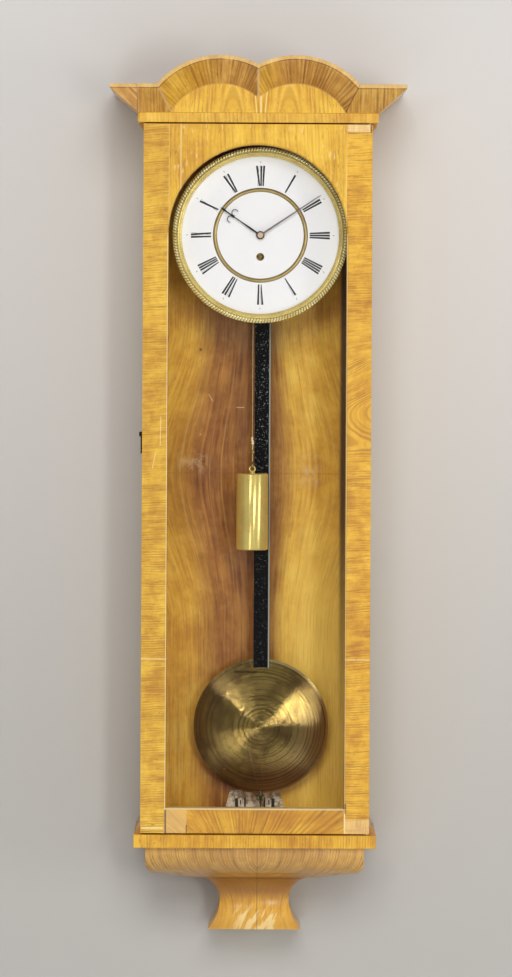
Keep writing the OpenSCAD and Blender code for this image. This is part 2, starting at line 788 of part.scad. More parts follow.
// The pallets stay clear of the teeth over the whole swing
pallet_gap = 0.65;
module anchor_and_crutch() {
    pallet_x = escape_tip_r * sin(pallet_angle);
    pallet_z = escape_z + escape_tip_r * cos(pallet_angle);
    color(steel) {
        difference() {
            forward(escape_f - 0.5, escape_f + wheel_t + 0.5) union() {
                translate([pend_x, susp_z]) circle(r = 3.2, $fn = 32);
                for (s = [-1, 1]) polygon([[pend_x, susp_z + 2.4], [pend_x, susp_z - 2.4],
                    [pend_x + s * (pallet_x - 0.6), pallet_z + 1.0],
                    [pend_x + s * (pallet_x + 1.0), pallet_z + 0.4],
                    [pend_x + s * (pallet_x + 2.6), pallet_z + 3.4]]);
            }
            shaft(pend_x, escape_z, escape_f - 1, escape_f + wheel_t + 1, escape_tip_r + pallet_gap);
        }
        shaft(pend_x, susp_z, crutch_f - 0.5, escape_f, pivot_pin_r);
        shaft(pend_x, susp_z, escape_f + wheel_t, pin_front_f, pivot_pin_r);
    }
    color(brass) {
        forward(crutch_f, crutch_f + crutch_t) union() {
            translate([pend_x, susp_z]) circle(r = 3.4, $fn = 32);
            translate([pend_x - 1.6, susp_z - crutch_l]) square([3.2, crutch_l]);
            translate([pend_x, susp_z - crutch_l]) circle(r = 3, $fn = 32);
        }
        shaft(pend_x, susp_z - crutch_l, pend_f - rod_t / 2 + 1, crutch_f, crutch_pin_r);
    }
}

// Plates, pillars and the bracket that holds the movement to the back board
pillar_x = plate_half - 6;
pillar_r = 3.5;
bracket_x = 30;
bracket_h = 12;
bracket_z = dial_z - plate_down + 2;
bore_r = pivot_pin_r + fit;
module plate_outline() {
    window(movement_x - plate_half, dial_z - plate_down, movement_x + plate_half, dial_z + plate_up);
}
module back_plate() {
    color(brass) difference() {
        forward(back_plate_f, back_plate_f + plate_t) plate_outline();
        shaft(movement_x, barrel_z, back_plate_f - 1, back_plate_f + plate_t + 1, arbor_r + fit);
        for (p = [[movement_x, dial_z], [third_x, third_z], [pend_x, escape_z], [pend_x, susp_z]])
            shaft(p[0], p[1], back_plate_f - 1, back_plate_f + plate_t + 1, bore_r);
    }
}
module front_plate() {
    color(brass) difference() {
        forward(front_plate_f, plate_front_f) plate_outline();
        shaft(movement_x, barrel_z, front_plate_f - 1, plate_front_f + 1, arbor_r + fit);
        shaft(movement_x, dial_z, front_plate_f - 1, plate_front_f + 1, bore_r + 0.2);
        for (p = [[third_x, third_z], [pend_x, escape_z], [pend_x, susp_z]])
            shaft(p[0], p[1], front_plate_f - 1, plate_front_f + 1, bore_r);
    }
    color(steel) shaft(movement_x + motion_dx, dial_z, plate_front_f, hour_wheel_f + motion_t + 0.4, 1);
}
module plate_pillars() {
    color(brass) for (s = [-1, 1], z = [dial_z - plate_down + 6, dial_z + plate_up - 6])
        shaft(movement_x + s * pillar_x, z, back_plate_f + plate_t, front_plate_f, pillar_r);
}
module movement_bracket() {
    color(brass) for (s = [-1, 1]) {
        x = movement_x + s * bracket_x;
        block(x - 4, x + 4, back_t, back_plate_f, bracket_z, bracket_z + 4);
        block(x - 6, x + 6, back_t, back_t + 3, bracket_z - 6, bracket_z + bracket_h);
        block(x - 4, x + 4, back_plate_f - 3, back_plate_f, bracket_z, bracket_z + bracket_h);
    }
}

// Dial
feet_x = 30;
feet_z = 32;
module dial_feet() {
    color(brass) for (s = [-1, 1], t = [-1, 1])
        shaft(movement_x + s * feet_x, dial_z + t * feet_z, plate_front_f, dial_back_f, 2);
}
module dial_hole(f0, f1) {
    shaft(movement_x, dial_z, f0 - 1, f1 + 1, pipe_r + 0.6);
    shaft(movement_x, barrel_z, f0 - 1, f1 + 1, winding_r);
}
module dial_plate() {
    color(brass) difference() {
        shaft(movement_x, dial_z, dial_back_f, enamel_f, bezel_r - 1);
        dial_hole(dial_back_f, enamel_f);
    }
}
// Play of the enamel pieces between the brass rings
enamel_play = 0.05;
module chapter_ring() {
    inner_r = ring_out_r + enamel_play;
    outer_r = enamel_r - enamel_play;
    color(white) turned(movement_x, dial_z) polygon([[inner_r, enamel_f], [outer_r, enamel_f],
        [outer_r, enamel_front_f - 0.8], [(inner_r + outer_r) / 2, enamel_front_f],
        [inner_r, enamel_front_f - 0.2]]);
}
module centre_disc() {
    color(white) difference() {
        shaft(movement_x, dial_z, enamel_f, enamel_front_f - 0.6, ring_in_r - enamel_play);
        dial_hole(enamel_f, enamel_front_f);
    }
}
module dial_ring() {
    w = ring_out_r - ring_in_r;
    color(brass) turned(movement_x, dial_z) intersection() {
        translate([ring_in_r, enamel_f]) square([w, 4]);
        translate([ring_in_r + w / 2, enamel_front_f - 1.4]) circle(r = w / 2, $fn = 48);
    }
}
// Stepped inner part, polished bead and the band whose edge is milled
bead_r = 1.2;
module bezel() {
    step_r = enamel_r + 4.4;
    band_r = step_r + 2 * bead_r;
    color(brass) turned(movement_x, dial_z) union() {
        polygon([[enamel_r, enamel_f], [bezel_r, enamel_f], [bezel_r, enamel_f + 7],
            [bezel_r - 1, enamel_f + 8], [band_r, enamel_f + 8], [band_r - bead_r, enamel_f + 7],
            [step_r, enamel_f + 6], [enamel_r + 2.2, enamel_f + 6], [enamel_r + 2.2, enamel_f + 4],
            [enamel_r, enamel_f + 4]]);
        translate([step_r + bead_r, enamel_f + 7.4]) circle(r = bead_r, $fn = 32);
    }
}

// Hands, drawn pointing up and turned to the time
hour_angle = 300 + minute_angle / 12;
hand_t = 0.8;
module hand_at(angle, f) {
    translate([movement_x, 0, dial_z]) rotate([0, angle, 0]) forward(f, f + hand_t) children();
}
module minute_hand() {
    color(black) {
        hand_at(minute_angle, minute_hand_f) difference() {
            union() {
                circle(r = 3.6, $fn = 48);
                polygon([[-1.1, 0], [1.1, 0], [0.45, minute_l - 4], [0, minute_l], [-0.45, minute_l - 4]]);
            }
            circle(r = cannon_r - 0.6, $fn = 32);
        }
    }
    color(brass) shaft(movement_x, dial_z, minute_hand_f + 1.6, minute_hand_f + 2.6, 2.6);
}
hour_hub_r = 4.6;
crescent_r = 3.9;
crescent_t = 0.8;
crescent_x = 4.3;
crescent_at = 37.3;
// Half of the hour hand's outline: half widths and distances from the hub
hour_edge = [[0.8, 0], [1.0, 14], [0.55, 27], [0.5, crescent_at - 3], [0.9, crescent_at + 1],
    [0.6, crescent_at + 4], [0.7, hour_l - 8], [1.3, hour_l - 4.5]];
module hour_hand() {
    edge_last = len(hour_edge) - 1;
    color(black) hand_at(hour_angle, hour_hand_f) difference() {
        union() {
            circle(r = hour_hub_r, $fn = 48);
            polygon(concat(hour_edge, [[0, hour_l]],
                [for (i = [edge_last:-1:0]) [-hour_edge[i][0], hour_edge[i][1]]]));
            for (s = [-1, 1]) translate([s * crescent_x, crescent_at]) difference() {
                circle(r = crescent_r, $fn = 48);
                circle(r = crescent_r - crescent_t, $fn = 48);
                window(-crescent_r - 1, -crescent_r - 1, crescent_r + 1, -crescent_r / 2);
            }
        }
        circle(r = pipe_r, $fn = 48);
    }
}

// Pendulum
cock_t = 8;
block_half = 5;
strip_t = 0.3;
strip_w = 8;
strip_up = 5;
strip_down = 8;
block_gap = 0.35;
module suspension_cock() {
    z0 = susp_z + 1;
    z1 = susp_z + 22;
    color(brass) difference() {
        union() {
            block(pend_x - block_half - cock_t, pend_x + block_half + cock_t, back_t, back_t + 4, z0, z1);
            block(pend_x - block_half, pend_x + block_half, back_t, pend_f + strip_w / 2 + 1, z0, z1 - 8);
        }
        block(pend_x - strip_t / 2 - block_gap, pend_x + strip_t / 2 + block_gap,
            pend_f - strip_w / 2 - block_gap, pend_f + strip_w / 2 + 2, z0 - 1,
            susp_z + strip_up + block_gap);
    }
}
module suspension_spring() {
    color(steel) block(pend_x - strip_t / 2, pend_x + strip_t / 2,
        pend_f - strip_w / 2, pend_f + strip_w / 2, susp_z - strip_down, susp_z + strip_up);
}
rod_end_in = 20;
rod_foot_z = bob_z - bob_r + rod_end_in;
ferrule_h = 12;
module pendulum_rod() {
    color(brass) difference() {
        block(pend_x - 4, pend_x + 4, pend_f - 3, pend_f + 3,
            susp_z - strip_down - 6, susp_z - strip_down + 5);
        block(pend_x - strip_t / 2, pend_x + strip_t / 2, pend_f - strip_w / 2,
            pend_f + strip_w / 2, susp_z - strip_down, susp_z);
    }
    color(black) difference() {
        block(pend_x - rod_w / 2, pend_x + rod_w / 2, pend_f - rod_t / 2, pend_f + rod_t / 2,
            rod_foot_z, susp_z - strip_down - 6);
        shaft(pend_x, susp_z - crutch_l, pend_f - rod_t, pend_f + rod_t, crutch_pin_r + 0.3);
        upright(pend_x, pend_f, rod_foot_z - 1, rod_foot_z + 18, screw_r);
    }
}
screw_r = 1.5;
nut_h = 8;
nut_gap = 0.3;
nut_z = bob_z - bob_r - nut_gap - nut_h;
tip_l = 6;
module rating_screw() {
    color(steel) {
        upright(pend_x, pend_f, nut_z - 1, rod_foot_z + 18, screw_r);
        translate([pend_x, -pend_f, nut_z - 1 - tip_l]) cylinder(h = tip_l, r1 = 0.4, r2 = screw_r);
    }
}
module rating_nut() {
    color(brass) difference() {
        union() {
            upright(pend_x, pend_f, nut_z, nut_z + nut_h - 2, 4.6);
            upright(pend_x, pend_f, nut_z + nut_h - 2, nut_z + nut_h, 3);
        }
        upright(pend_x, pend_f, nut_z - 1, nut_z + nut_h + 1, screw_r + fit);
    }
}
// Lens: two ball caps with a narrow rim, hollow, with a channel for the rod
lens_r = (pow(bob_r, 2) + pow(bob_half_t - rim_half_t, 2)) / (2 * (bob_half_t - rim_half_t));
bob_slide = 4;
rod_play = 0.3;
module lens(shrink) {
    cap = lens_r - shrink;
    offset_f = lens_r - bob_half_t;
    intersection() {
        translate([pend_x, -pend_f - offset_f, bob_z]) rotate([90, 0, 0])
            rotate_extrude($fn = 180) intersection() {
                circle(r = cap, $fn = 180);
                translate([0, -cap]) square([cap, 2 * cap]);
            }
        translate([pend_x, -pend_f + offset_f, bob_z]) rotate([90, 0, 0])
            rotate_extrude($fn = 180) intersection() {
                circle(r = cap, $fn = 180);
                translate([0, -cap]) square([cap, 2 * cap]);
            }
        shaft(pend_x, bob_z, pend_f - bob_half_t - 1, pend_f + bob_half_t + 1, bob_r - shrink);
    }
}
module rod_channel() {
    play = rod_play;
    block(pend_x - rod_w / 2 - play, pend_x + rod_w / 2 + play, pend_f - rod_t / 2 - play,
        pend_f + rod_t / 2 + play, rod_foot_z - bob_slide - 1, bob_z + bob_r + 1);
    upright(pend_x, pend_f, bob_z - bob_r - 1, rod_foot_z, screw_r + play);
}
core_r = 48;
module bob_shells() {
    color(brass) difference() {
        lens(0);
        shaft_core();
        rod_channel();
    }
}
module shaft_core() {
    intersection() {
        lens(shell_t);
        shaft(pend_x, bob_z, pend_f - bob_half_t, pend_f + bob_half_t, core_r);
    }
}
module bob_core() {
    color(steel) difference() {
        shaft_core();
        rod_channel();
    }
}

// Weight on its line
weight_x = movement_x - barrel_r;
weight_top_z = foot_z + weight_z + weight_h;
eye_r = 3;
eye_wire = 1;
eye_z = weight_top_z + 2 + eye_r;
hook_wire = 1.1;
hook_r = 3.2;
hook_gap_z = 0.3;
hook_ring_z = eye_z + eye_r - eye_wire - hook_gap_z - hook_wire + hook_r;
knot_r = 2.6;
knot_z = hook_ring_z + 15;
line_end_z = knot_z + 9;
module weight() {
    z0 = foot_z + weight_z;
    color(brass) {
        translate([weight_x, -weight_f, z0]) rotate_extrude() polygon([[0, 0], [weight_r - 1, 0],
            [weight_r, 1], [weight_r, weight_h - 1], [weight_r - 1, weight_h], [0, weight_h]]);
        upright(weight_x, weight_f, weight_top_z, weight_top_z + 2, eye_r);
        translate([weight_x, -weight_f, eye_z]) rotate([90, 0, 0])
            rotate_extrude($fn = 48) translate([eye_r, 0]) circle(r = eye_wire, $fn = 24);
    }
}
module weight_hook() {
    color(black) {
        translate([weight_x, -weight_f, hook_ring_z]) rotate([0, 90, 0])
            rotate_extrude($fn = 48) translate([hook_r, 0]) circle(r = hook_wire, $fn = 24);
        upright(weight_x, weight_f, hook_ring_z + hook_r, knot_z, hook_wire);
        translate([weight_x, -weight_f, knot_z]) sphere(r = knot_r, $fn = 48);
        upright(weight_x, weight_f, knot_z, line_end_z, 1.5);
    }
}
module gut_line() {
    color([0.75, 0.65, 0.45]) upright(weight_x, weight_f, line_end_z, barrel_z, line_d / 2);
}

back_board();
left_side();
right_side();
top_board();
base_board();
drop_console();
side_mouldings();
pediment_panel();
pediment_sides();
left_arch_moulding();
right_arch_moulding();
left_cornice();
right_cornice();
left_return();
right_return();
hanger_plate();
hanger_screws();
beat_scale();
hinge_pins();
hinge_sockets();
left_stile();
right_stile();
top_rail();
bottom_rail();
door_glass();
glass_beads();
hook_peg();
hook_screw();
side_hook();
movement_bracket();
back_plate();
front_plate();
plate_pillars();
dial_feet();
dial_plate();
chapter_ring();
centre_disc();
dial_ring();
bezel();
great_wheel();
click();
winding_barrel();
centre_wheel();
minute_hand();
minute_wheel();
hour_wheel();
hour_hand();
third_wheel();
escape_wheel();
anchor_and_crutch();
suspension_cock();
suspension_spring();
pendulum_rod();
rating_screw();
rating_nut();
bob_shells();
bob_core();
weight();
weight_hook();
gut_line();
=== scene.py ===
import math

import bmesh
import bpy
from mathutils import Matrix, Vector


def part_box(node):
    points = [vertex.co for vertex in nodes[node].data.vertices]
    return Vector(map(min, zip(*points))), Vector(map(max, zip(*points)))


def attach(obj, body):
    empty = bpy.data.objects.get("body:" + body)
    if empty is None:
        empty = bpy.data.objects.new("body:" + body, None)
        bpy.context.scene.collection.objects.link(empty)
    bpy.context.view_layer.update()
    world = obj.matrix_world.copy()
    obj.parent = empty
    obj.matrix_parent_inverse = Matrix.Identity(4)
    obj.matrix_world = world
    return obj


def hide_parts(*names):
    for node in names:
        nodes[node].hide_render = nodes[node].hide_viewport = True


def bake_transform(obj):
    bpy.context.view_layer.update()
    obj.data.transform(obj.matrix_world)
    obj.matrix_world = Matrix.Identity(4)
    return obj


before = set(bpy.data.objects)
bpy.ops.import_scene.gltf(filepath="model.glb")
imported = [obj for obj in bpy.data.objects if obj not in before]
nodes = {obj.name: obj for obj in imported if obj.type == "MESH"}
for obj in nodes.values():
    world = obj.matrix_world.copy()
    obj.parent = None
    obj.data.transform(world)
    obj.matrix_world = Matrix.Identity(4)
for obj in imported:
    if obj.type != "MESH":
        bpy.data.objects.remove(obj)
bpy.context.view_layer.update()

# Sizes are in millimetres and become metres through MM. Lamps, floor and wall are in metres.
# The front faces -Y.
MM = 0.001
scene = bpy.context.scene


def low(node, axis):
    """Lowest coordinate of a CAD node along an axis, in millimetres."""
    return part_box(node)[0]["xyz".index(axis)] / MM


def high(node, axis):
    """Highest coordinate of a CAD node along an axis, in millimetres."""
    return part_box(node)[1]["xyz".index(axis)] / MM


def middle(node, axis):
    """Middle of a CAD node along an axis, in millimetres."""
    return (low(node, axis) + high(node, axis)) / 2


def half(node):
    """Half the width of a CAD node, in millimetres, which is the radius of a round one."""
    return (high(node, "x") - low(node, "x")) / 2


def upright(node):
    """Middle along X and Y, bottom and top of a CAD node, in millimetres."""
    return middle(node, "x"), middle(node, "y"), low(node, "z"), high(node, "z")


# Places taken from the frame
foot = low("drop_console", "z")
dial_x = middle("chapter_ring", "x")
dial_z = middle("chapter_ring", "z")
bob_x = middle("bob_shells", "x")
bob_z = middle("bob_shells", "z")
bob_r = half("bob_shells")
door_left = low("left_stile", "x")
door_right = high("right_stile", "x")
door_front = low("left_stile", "y")
door_foot = low("left_stile", "z")
door_top = high("left_stile", "z")
open_left = high("left_stile", "x")
open_right = low("right_stile", "x")
pediment_z = low("pediment_panel", "z")
cornice_z = high("left_cornice", "z")
arch_top = high("right_arch_moulding", "z")
door_arch_z = high("glass_beads", "z") - half("glass_beads")
enamel_r = half("chapter_ring")
ring_out_r = half("dial_ring")
arch_outer_r = 92.4  # radius of the pediment's arch mouldings at their outer edge
arch_rise = arch_top - cornice_z
arch_half = math.sqrt(arch_outer_r ** 2 - (arch_outer_r - arch_rise) ** 2)
arch_x = high("right_arch_moulding", "x") - arch_half


# Camera and light
def make_camera():
    """The photographer stood about 4.9 m away, a little below the dial, with the camera level."""
    distance = 4860
    height_above_foot = 668
    frame_middle = 493.6
    seen_height = 1074.7
    aim_x = -1.3
    roll = -0.3
    sensor = 36
    data = bpy.data.cameras.new("camera")
    data.sensor_width = sensor
    data.lens = sensor * distance / seen_height
    data.shift_y = (frame_middle - height_above_foot) / seen_height
    camera = bpy.data.objects.new("camera", data)
    camera.location = Vector((aim_x, door_front - distance, foot + height_above_foot)) * MM
    camera.rotation_euler = (math.radians(90), math.radians(roll), 0)
    scene.collection.objects.link(camera)
    scene.camera = camera


def area_light(name, place, target, size, power, colour, glossy=True):
    """A soft rectangular lamp at a place in metres, turned towards a target."""
    data = bpy.data.lights.new(name, "AREA")
    data.shape = "RECTANGLE"
    data.size, data.size_y = size
    data.energy = power
    data.color = colour
    lamp = bpy.data.objects.new(name, data)
    lamp.location = place
    lamp.rotation_euler = (Vector(target) - Vector(place)).to_track_quat("-Z", "Y").to_euler()
    lamp.visible_glossy = glossy
    scene.collection.objects.link(lamp)


def light_scene():
    """A large soft lamp above the camera, small ones that draw the fans on the bob, and one behind it all."""
    clock = (0, 0, -0.42)
    bob = (0, 0, -0.64)
    lamps = (
        ("key", (0.15, -4.2, 1.4), clock, (2.2, 1.6), 80, (1, 0.99, 0.97), False),
        ("right", (1.2, -4.3, -0.4), bob, (0.36, 1), 27, (0.99, 1, 0.94)),
        ("left", (-0.8, -4.3, 0.46), bob, (1, 0.4), 3, (0.98, 0.99, 1)),
        ("streak", (-1.2, -4.3, 0.15), bob, (0.1, 0.4), 7, (0.98, 0.99, 1)),
        ("low", (-0.8, -4.3, -1.5), bob, (0.34, 0.66), 5, (1, 0.98, 0.92)),
        ("side", (3.1, -2.5, -0.56), (0, -0.08, -0.4), (0.6, 1.5), 22, (1, 0.99, 0.96)),
        ("behind", (0.9, 3.6, 1), clock, (2, 2), 70, (1, 1, 1), False))
    for lamp in lamps:
        area_light(*lamp)
    world = bpy.data.worlds.new("surroundings")
    scene.world = world
    world.use_nodes = True
    background = world.node_tree.nodes["Background"]
    background.inputs["Color"].default_value = (0.8, 0.8, 0.8, 1)
    background.inputs["Strength"].default_value = 0.44


# Material building
def rgb(red, green, blue):
    """A colour given in 0 to 255 as it looks on a screen, as linear RGBA."""
    def channel(value):
        share = value / 255
        return share / 12.92 if share <= 0.04045 else ((share + 0.055) / 1.055) ** 2.4
    return (channel(red), channel(green), channel(blue), 1)


def sum_method(operation):
    """A method that works out a value, by itself or with a second number."""
    def method(value, second=0):
        return value.graph.math(operation, value, second)
    return method


class Value:
    """A number that a material works out at each point. It takes part in sums like a plain number."""
    __add__ = __radd__ = sum_method("ADD")
    __mul__ = __rmul__ = sum_method("MULTIPLY")
    __sub__ = sum_method("SUBTRACT")
    __truediv__ = sum_method("DIVIDE")
    __abs__ = sum_method("ABSOLUTE")

    def __init__(self, graph, socket):
        self.graph = graph
        self.socket = socket

    def __rsub__(self, first):
        return self.graph.math("SUBTRACT", first, self)


class Graph:
    """One material's nodes. An argument may be a value, a socket or a plain number or colour."""

    def __init__(self, name):
        self.material = bpy.data.materials.new(name)
        self.material.use_nodes = True
        self.tree = self.material.node_tree
        self.tree.nodes.clear()
        places = self.node("ShaderNodeTexCoord", {})
        split = self.node("ShaderNodeSeparateXYZ", {0: places.outputs["Object"]})
        self.x, self.y, self.z = [Value(self, socket) for socket in split.outputs]

    def node(self, kind, inputs, **settings):
        made = self.tree.nodes.new(kind)
        for key, value in settings.items():
            setattr(made, key, value)
        for key, value in inputs.items():
            if isinstance(value, Value):
                value = value.socket
            if isinstance(value, bpy.types.NodeSocket):
                self.tree.links.new(value, made.inputs[key])
            else:
                made.inputs[key].default_value = value
        return made

    def math(self, operation, a, b=0, c=0):
        made = self.node("ShaderNodeMath", {0: a, 1: b, 2: c}, operation=operation)
        return Value(self, made.outputs[0])

    def noise(self, x, y, z, detail=2, roughness=0.5):
        """Noise from 0 to 1 whose features are one unit of the given coordinates across."""
        place = self.node("ShaderNodeCombineXYZ", {0: x, 1: y, 2: z}).outputs[0]
        made = self.node("ShaderNodeTexNoise", {
            "Vector": place, "Scale": 1, "Detail": detail, "Roughness": roughness})
        return Value(self, made.outputs[0])

    def even(self, density, detail=2, roughness=0.5, brush=(1, 1, 1)):
        """Noise with so many features to a metre, times a brush's shares along X, Y and Z."""
        places = [axis * (density * share) for axis, share in zip((self.x, self.y, self.z), brush)]
        return self.noise(*places, detail, roughness)

    def polar(self, x, z):
        """Distances to the right, up and straight from a point of the front, given in millimetres."""
        right = self.x - x * MM
        up = self.z - z * MM
        return right, up, self.math("SQRT", right * right + up * up)

    def most(self, value, *others):
        """The highest of several values."""
        for other in others:
            value = self.math("MAXIMUM", value, other)
        return value

    def fade(self, value, start, end):
        """0 at start and 1 at end, smooth between them."""
        made = self.node("ShaderNodeMapRange", {
            "Value": value, "From Min": start, "From Max": end}, interpolation_type="SMOOTHSTEP")
        return Value(self, made.outputs[0])

    def rise(self, value, start, end):
        """0 at start and 1 at end, both in millimetres."""
        return self.fade(value, start * MM, end * MM)

    def between(self, value, start, end, soft):
        """1 between two coordinates and 0 outside them, in millimetres."""
        return self.rise(value, start - soft, start + soft) * self.rise(value, end + soft, end - soft)

    def patch(self, x0, x1, z0, z1, soft=0.3):
        """1 inside a rectangle of the front, given in millimetres."""
        return self.between(self.x, x0, x1, soft) * self.between(self.z, z0, z1, soft)

    def mix(self, share, a, b):
        return self.node("ShaderNodeMix", {0: share, 6: a, 7: b}, data_type="RGBA").outputs[2]

    def tint(self, colour, tone, share, strength):
        """A colour moved towards a tone by a share times a strength."""
        return self.mix(share * strength, colour, tone)

    def tints(self, colour, *tones):
        """A colour moved towards several tones in turn."""
        for tone in tones:
            colour = self.tint(colour, *tone)
        return colour

    def ramp(self, value, stops):
        made = self.node("ShaderNodeValToRGB", {0: value})
        elements = made.color_ramp.elements
        while len(elements) < len(stops):
            elements.new(0.5)
        for element, (position, colour) in zip(elements, stops):
            element.position = position
            element.color = colour
        return made.outputs[0]

    def bump(self, height, depth, normal=None):
        """A normal for a height from 0 to 1 that stands for a depth in millimetres."""
        inputs = {"Height": height, "Distance": depth * MM, "Strength": 1}
        if normal is not None:
            inputs["Normal"] = normal
        return self.node("ShaderNodeBump", inputs).outputs[0]

    def shader(self, colour, roughness, normal=None, **fixed):
        """The finish. Colour, roughness and normal may be sockets, and so may a tangent and an alpha."""
        inputs = {"Base Color": colour, "Roughness": roughness}
        if normal is not None:
            inputs["Normal"] = normal
        for key, value in fixed.items():
            inputs[key.replace("_", " ")] = value
        made = self.node("ShaderNodeBsdfPrincipled", inputs)
        self.node("ShaderNodeOutputMaterial", {0: made.outputs[0]})
        return self.material


# Woods. Each has a light, a middle and a deep tone, and that of its grain lines, in 0 to 255
HONEY = ((240, 194, 66), (222, 172, 48), (200, 144, 34), (148, 88, 20))
AMBER = ((240, 188, 54), (222, 164, 36), (198, 137, 26), (142, 82, 16))
GOLDEN = ((244, 198, 66), (229, 178, 46), (208, 152, 36), (156, 98, 22))
RUSSET = ((230, 176, 50), (206, 146, 32), (178, 117, 24), (126, 72, 16))
BROWN = ((232, 184, 98), (214, 158, 76), (186, 130, 56), (112, 68, 28))
BAND = ((240, 196, 76), (230, 180, 58), (214, 158, 46), (170, 110, 34))
INNER_RED = ((190, 128, 44), (162, 100, 30), (134, 76, 20), (92, 50, 14))
INNER_GOLD = ((252, 206, 80), (240, 186, 60), (216, 156, 46), (150, 94, 28))
PLAIN = ((206, 168, 114), (190, 150, 96), (172, 130, 80), (128, 90, 52))
DUN = ((222, 174, 92), (196, 150, 82), (200, 146, 68), (112, 68, 28))
PORE = rgb(82, 46, 18)


def figure(g, across, along, depth, pitch=2.6, sway=7, seed=0, ripple=1.2):
    """Growth lines, fibres, pores, mottle, broad shade and bands of a board, each from 0 to 1.

    Pitch is the distance from line to line, and sway and ripple are how far they wander, in millimetres.
    """
    slow = g.noise(across * 5 + seed, along * 13, depth * 5, 1)
    small = g.noise(across * 60, along * 70 + seed, depth * 30, 2)
    bend = (slow - 0.5) * (sway * MM) + (small - 0.5) * (ripple * MM)
    shifted = across + bend
    wave = g.math("SINE", shifted * (2 * math.pi / (pitch * MM)))
    uneven = g.noise(shifted * 110, along * 9, seed, 3, 0.7)
    lines = g.fade(wave, -0.5, 1) * g.fade(uneven, 0.4, 0.66)
    fibres = g.noise(shifted * 900, along * 22, seed + 4, 3, 0.7)
    pores = g.noise(shifted * 620, along * 90, depth * 90 + seed, 1)
    mottle = g.noise(across * 52, along * 36 + seed, depth * 24, 3, 0.65)
    broad = g.noise(across * 13 + seed, along * 8, depth * 10, 2)
    bands = g.noise(shifted * 250, along * 15, seed + 8, 2, 0.6)
    return lines, fibres, g.fade(pores, 0.66, 0.74), mottle, broad, bands


def wood_colour(g, tones, parts, line_weight=0.42, fibre_weight=0.34, pore_weight=0.35, band_weight=0.3):
    """Colour of a board from its figure."""
    light, middle_tone, deep, line_tone = [rgb(*tone) for tone in tones]
    lines, fibres, pores, mottle, broad, bands = parts
    shade = mottle * 0.55 + broad * 0.45
    colour = g.ramp(shade, [(0.39, light), (0.5, middle_tone), (0.63, deep)])
    return g.tints(
        colour,
        (line_tone, g.fade(fibres, 0.42, 0.74), fibre_weight),
        (light, g.fade(fibres, 0.44, 0.26), 0.35),
        (line_tone, g.fade(bands, 0.5, 0.72), band_weight),
        (light, g.fade(bands, 0.5, 0.3), band_weight * 1.3),
        (line_tone, lines, line_weight),
        (PORE, pores, pore_weight))


def finish_wood(g, colour, parts, shine=0.3, rough=0.36):
    """French polish over open grain, with specks of grime and slight hollows along the pores."""
    fibres, pores, mottle = parts[1:4]
    colour = g.tint(colour, PORE, g.fade(g.even(300), 0.73, 0.78), 0.45)
    height = fibres * 0.5 - pores * 0.8
    roughness = rough + (mottle - 0.5) * 0.3
    return g.shader(colour, roughness, g.bump(height, 0.08), Coat_Weight=shine, Coat_Roughness=0.2)


def raw_back(g, colour, plane_y):
    """The face in a plane is unpolished and grey-brown, as on the side towards the wall."""
    stain = g.noise(g.x * 14, g.z * 5, g.y * 14, 4, 0.6)
    raw = g.ramp(stain, [(0.3, rgb(186, 152, 108)), (0.7, rgb(140, 106, 70))])
    behind = g.rise(g.y, plane_y - 1.2, plane_y - 0.6)
    return g.tint(colour, raw, behind, 0.85)


def wood(name, tones, marks=None, level=False, back_y=None, weights=(0.42, 0.34, 0.35), **shape):
    """A board with upright grain, or level from front to back. Marks is a function that adds wear, joints,
    painted light and painted shade.
    """
    g = Graph(name)
    round_corner = g.x + g.y * 0.8
    axes = (g.x, g.y, g.z) if level else (round_corner, g.z, g.y)
    parts = figure(g, *axes, **shape)
    colour = wood_colour(g, tones, parts, *weights)
    if marks is not None:
        colour = marks(g, colour)
    if back_y is not None:
        colour = raw_back(g, colour, back_y)
    return finish_wood(g, colour, parts)


def dress(material, *names):
    """Gives CAD nodes their material."""
    for name in names:
        slots = nodes[name].data.materials
        slots.clear()
        slots.append(material)


def soften(width, *names):
    """Rounds the sharp edges of CAD nodes a little, so that they catch the light."""
    for name in names:
        piece = nodes[name]
        weld = piece.modifiers.new("weld", "WELD")
        weld.merge_threshold = 0.002 * MM
        bevel = piece.modifiers.new("edge", "BEVEL")
        bevel.width = width * MM
        bevel.segments = 2
        bevel.limit_method = "ANGLE"
        bevel.angle_limit = math.radians(40)
        bevel.harden_normals = True


# Case woodwork
PALE_LINE = rgb(252, 228, 168)
DARK_LINE = rgb(84, 48, 20)
JOINTS = {-1: (rgb(214, 190, 150), 0.65), 1: (rgb(104, 64, 30), 0.5)}


def scratch(g, x0, z0, x1, z1, width=0.7):
    """1 along a straight mark on the front, between two points in millimetres."""
    lean = (x1 - x0) / (z1 - z0)
    centre = x0 * MM + (g.z - z0 * MM) * lean
    across = g.between(g.x - centre, -width / 2, width / 2, 0.3)
    return across * g.between(g.z, z0, z1, 1)


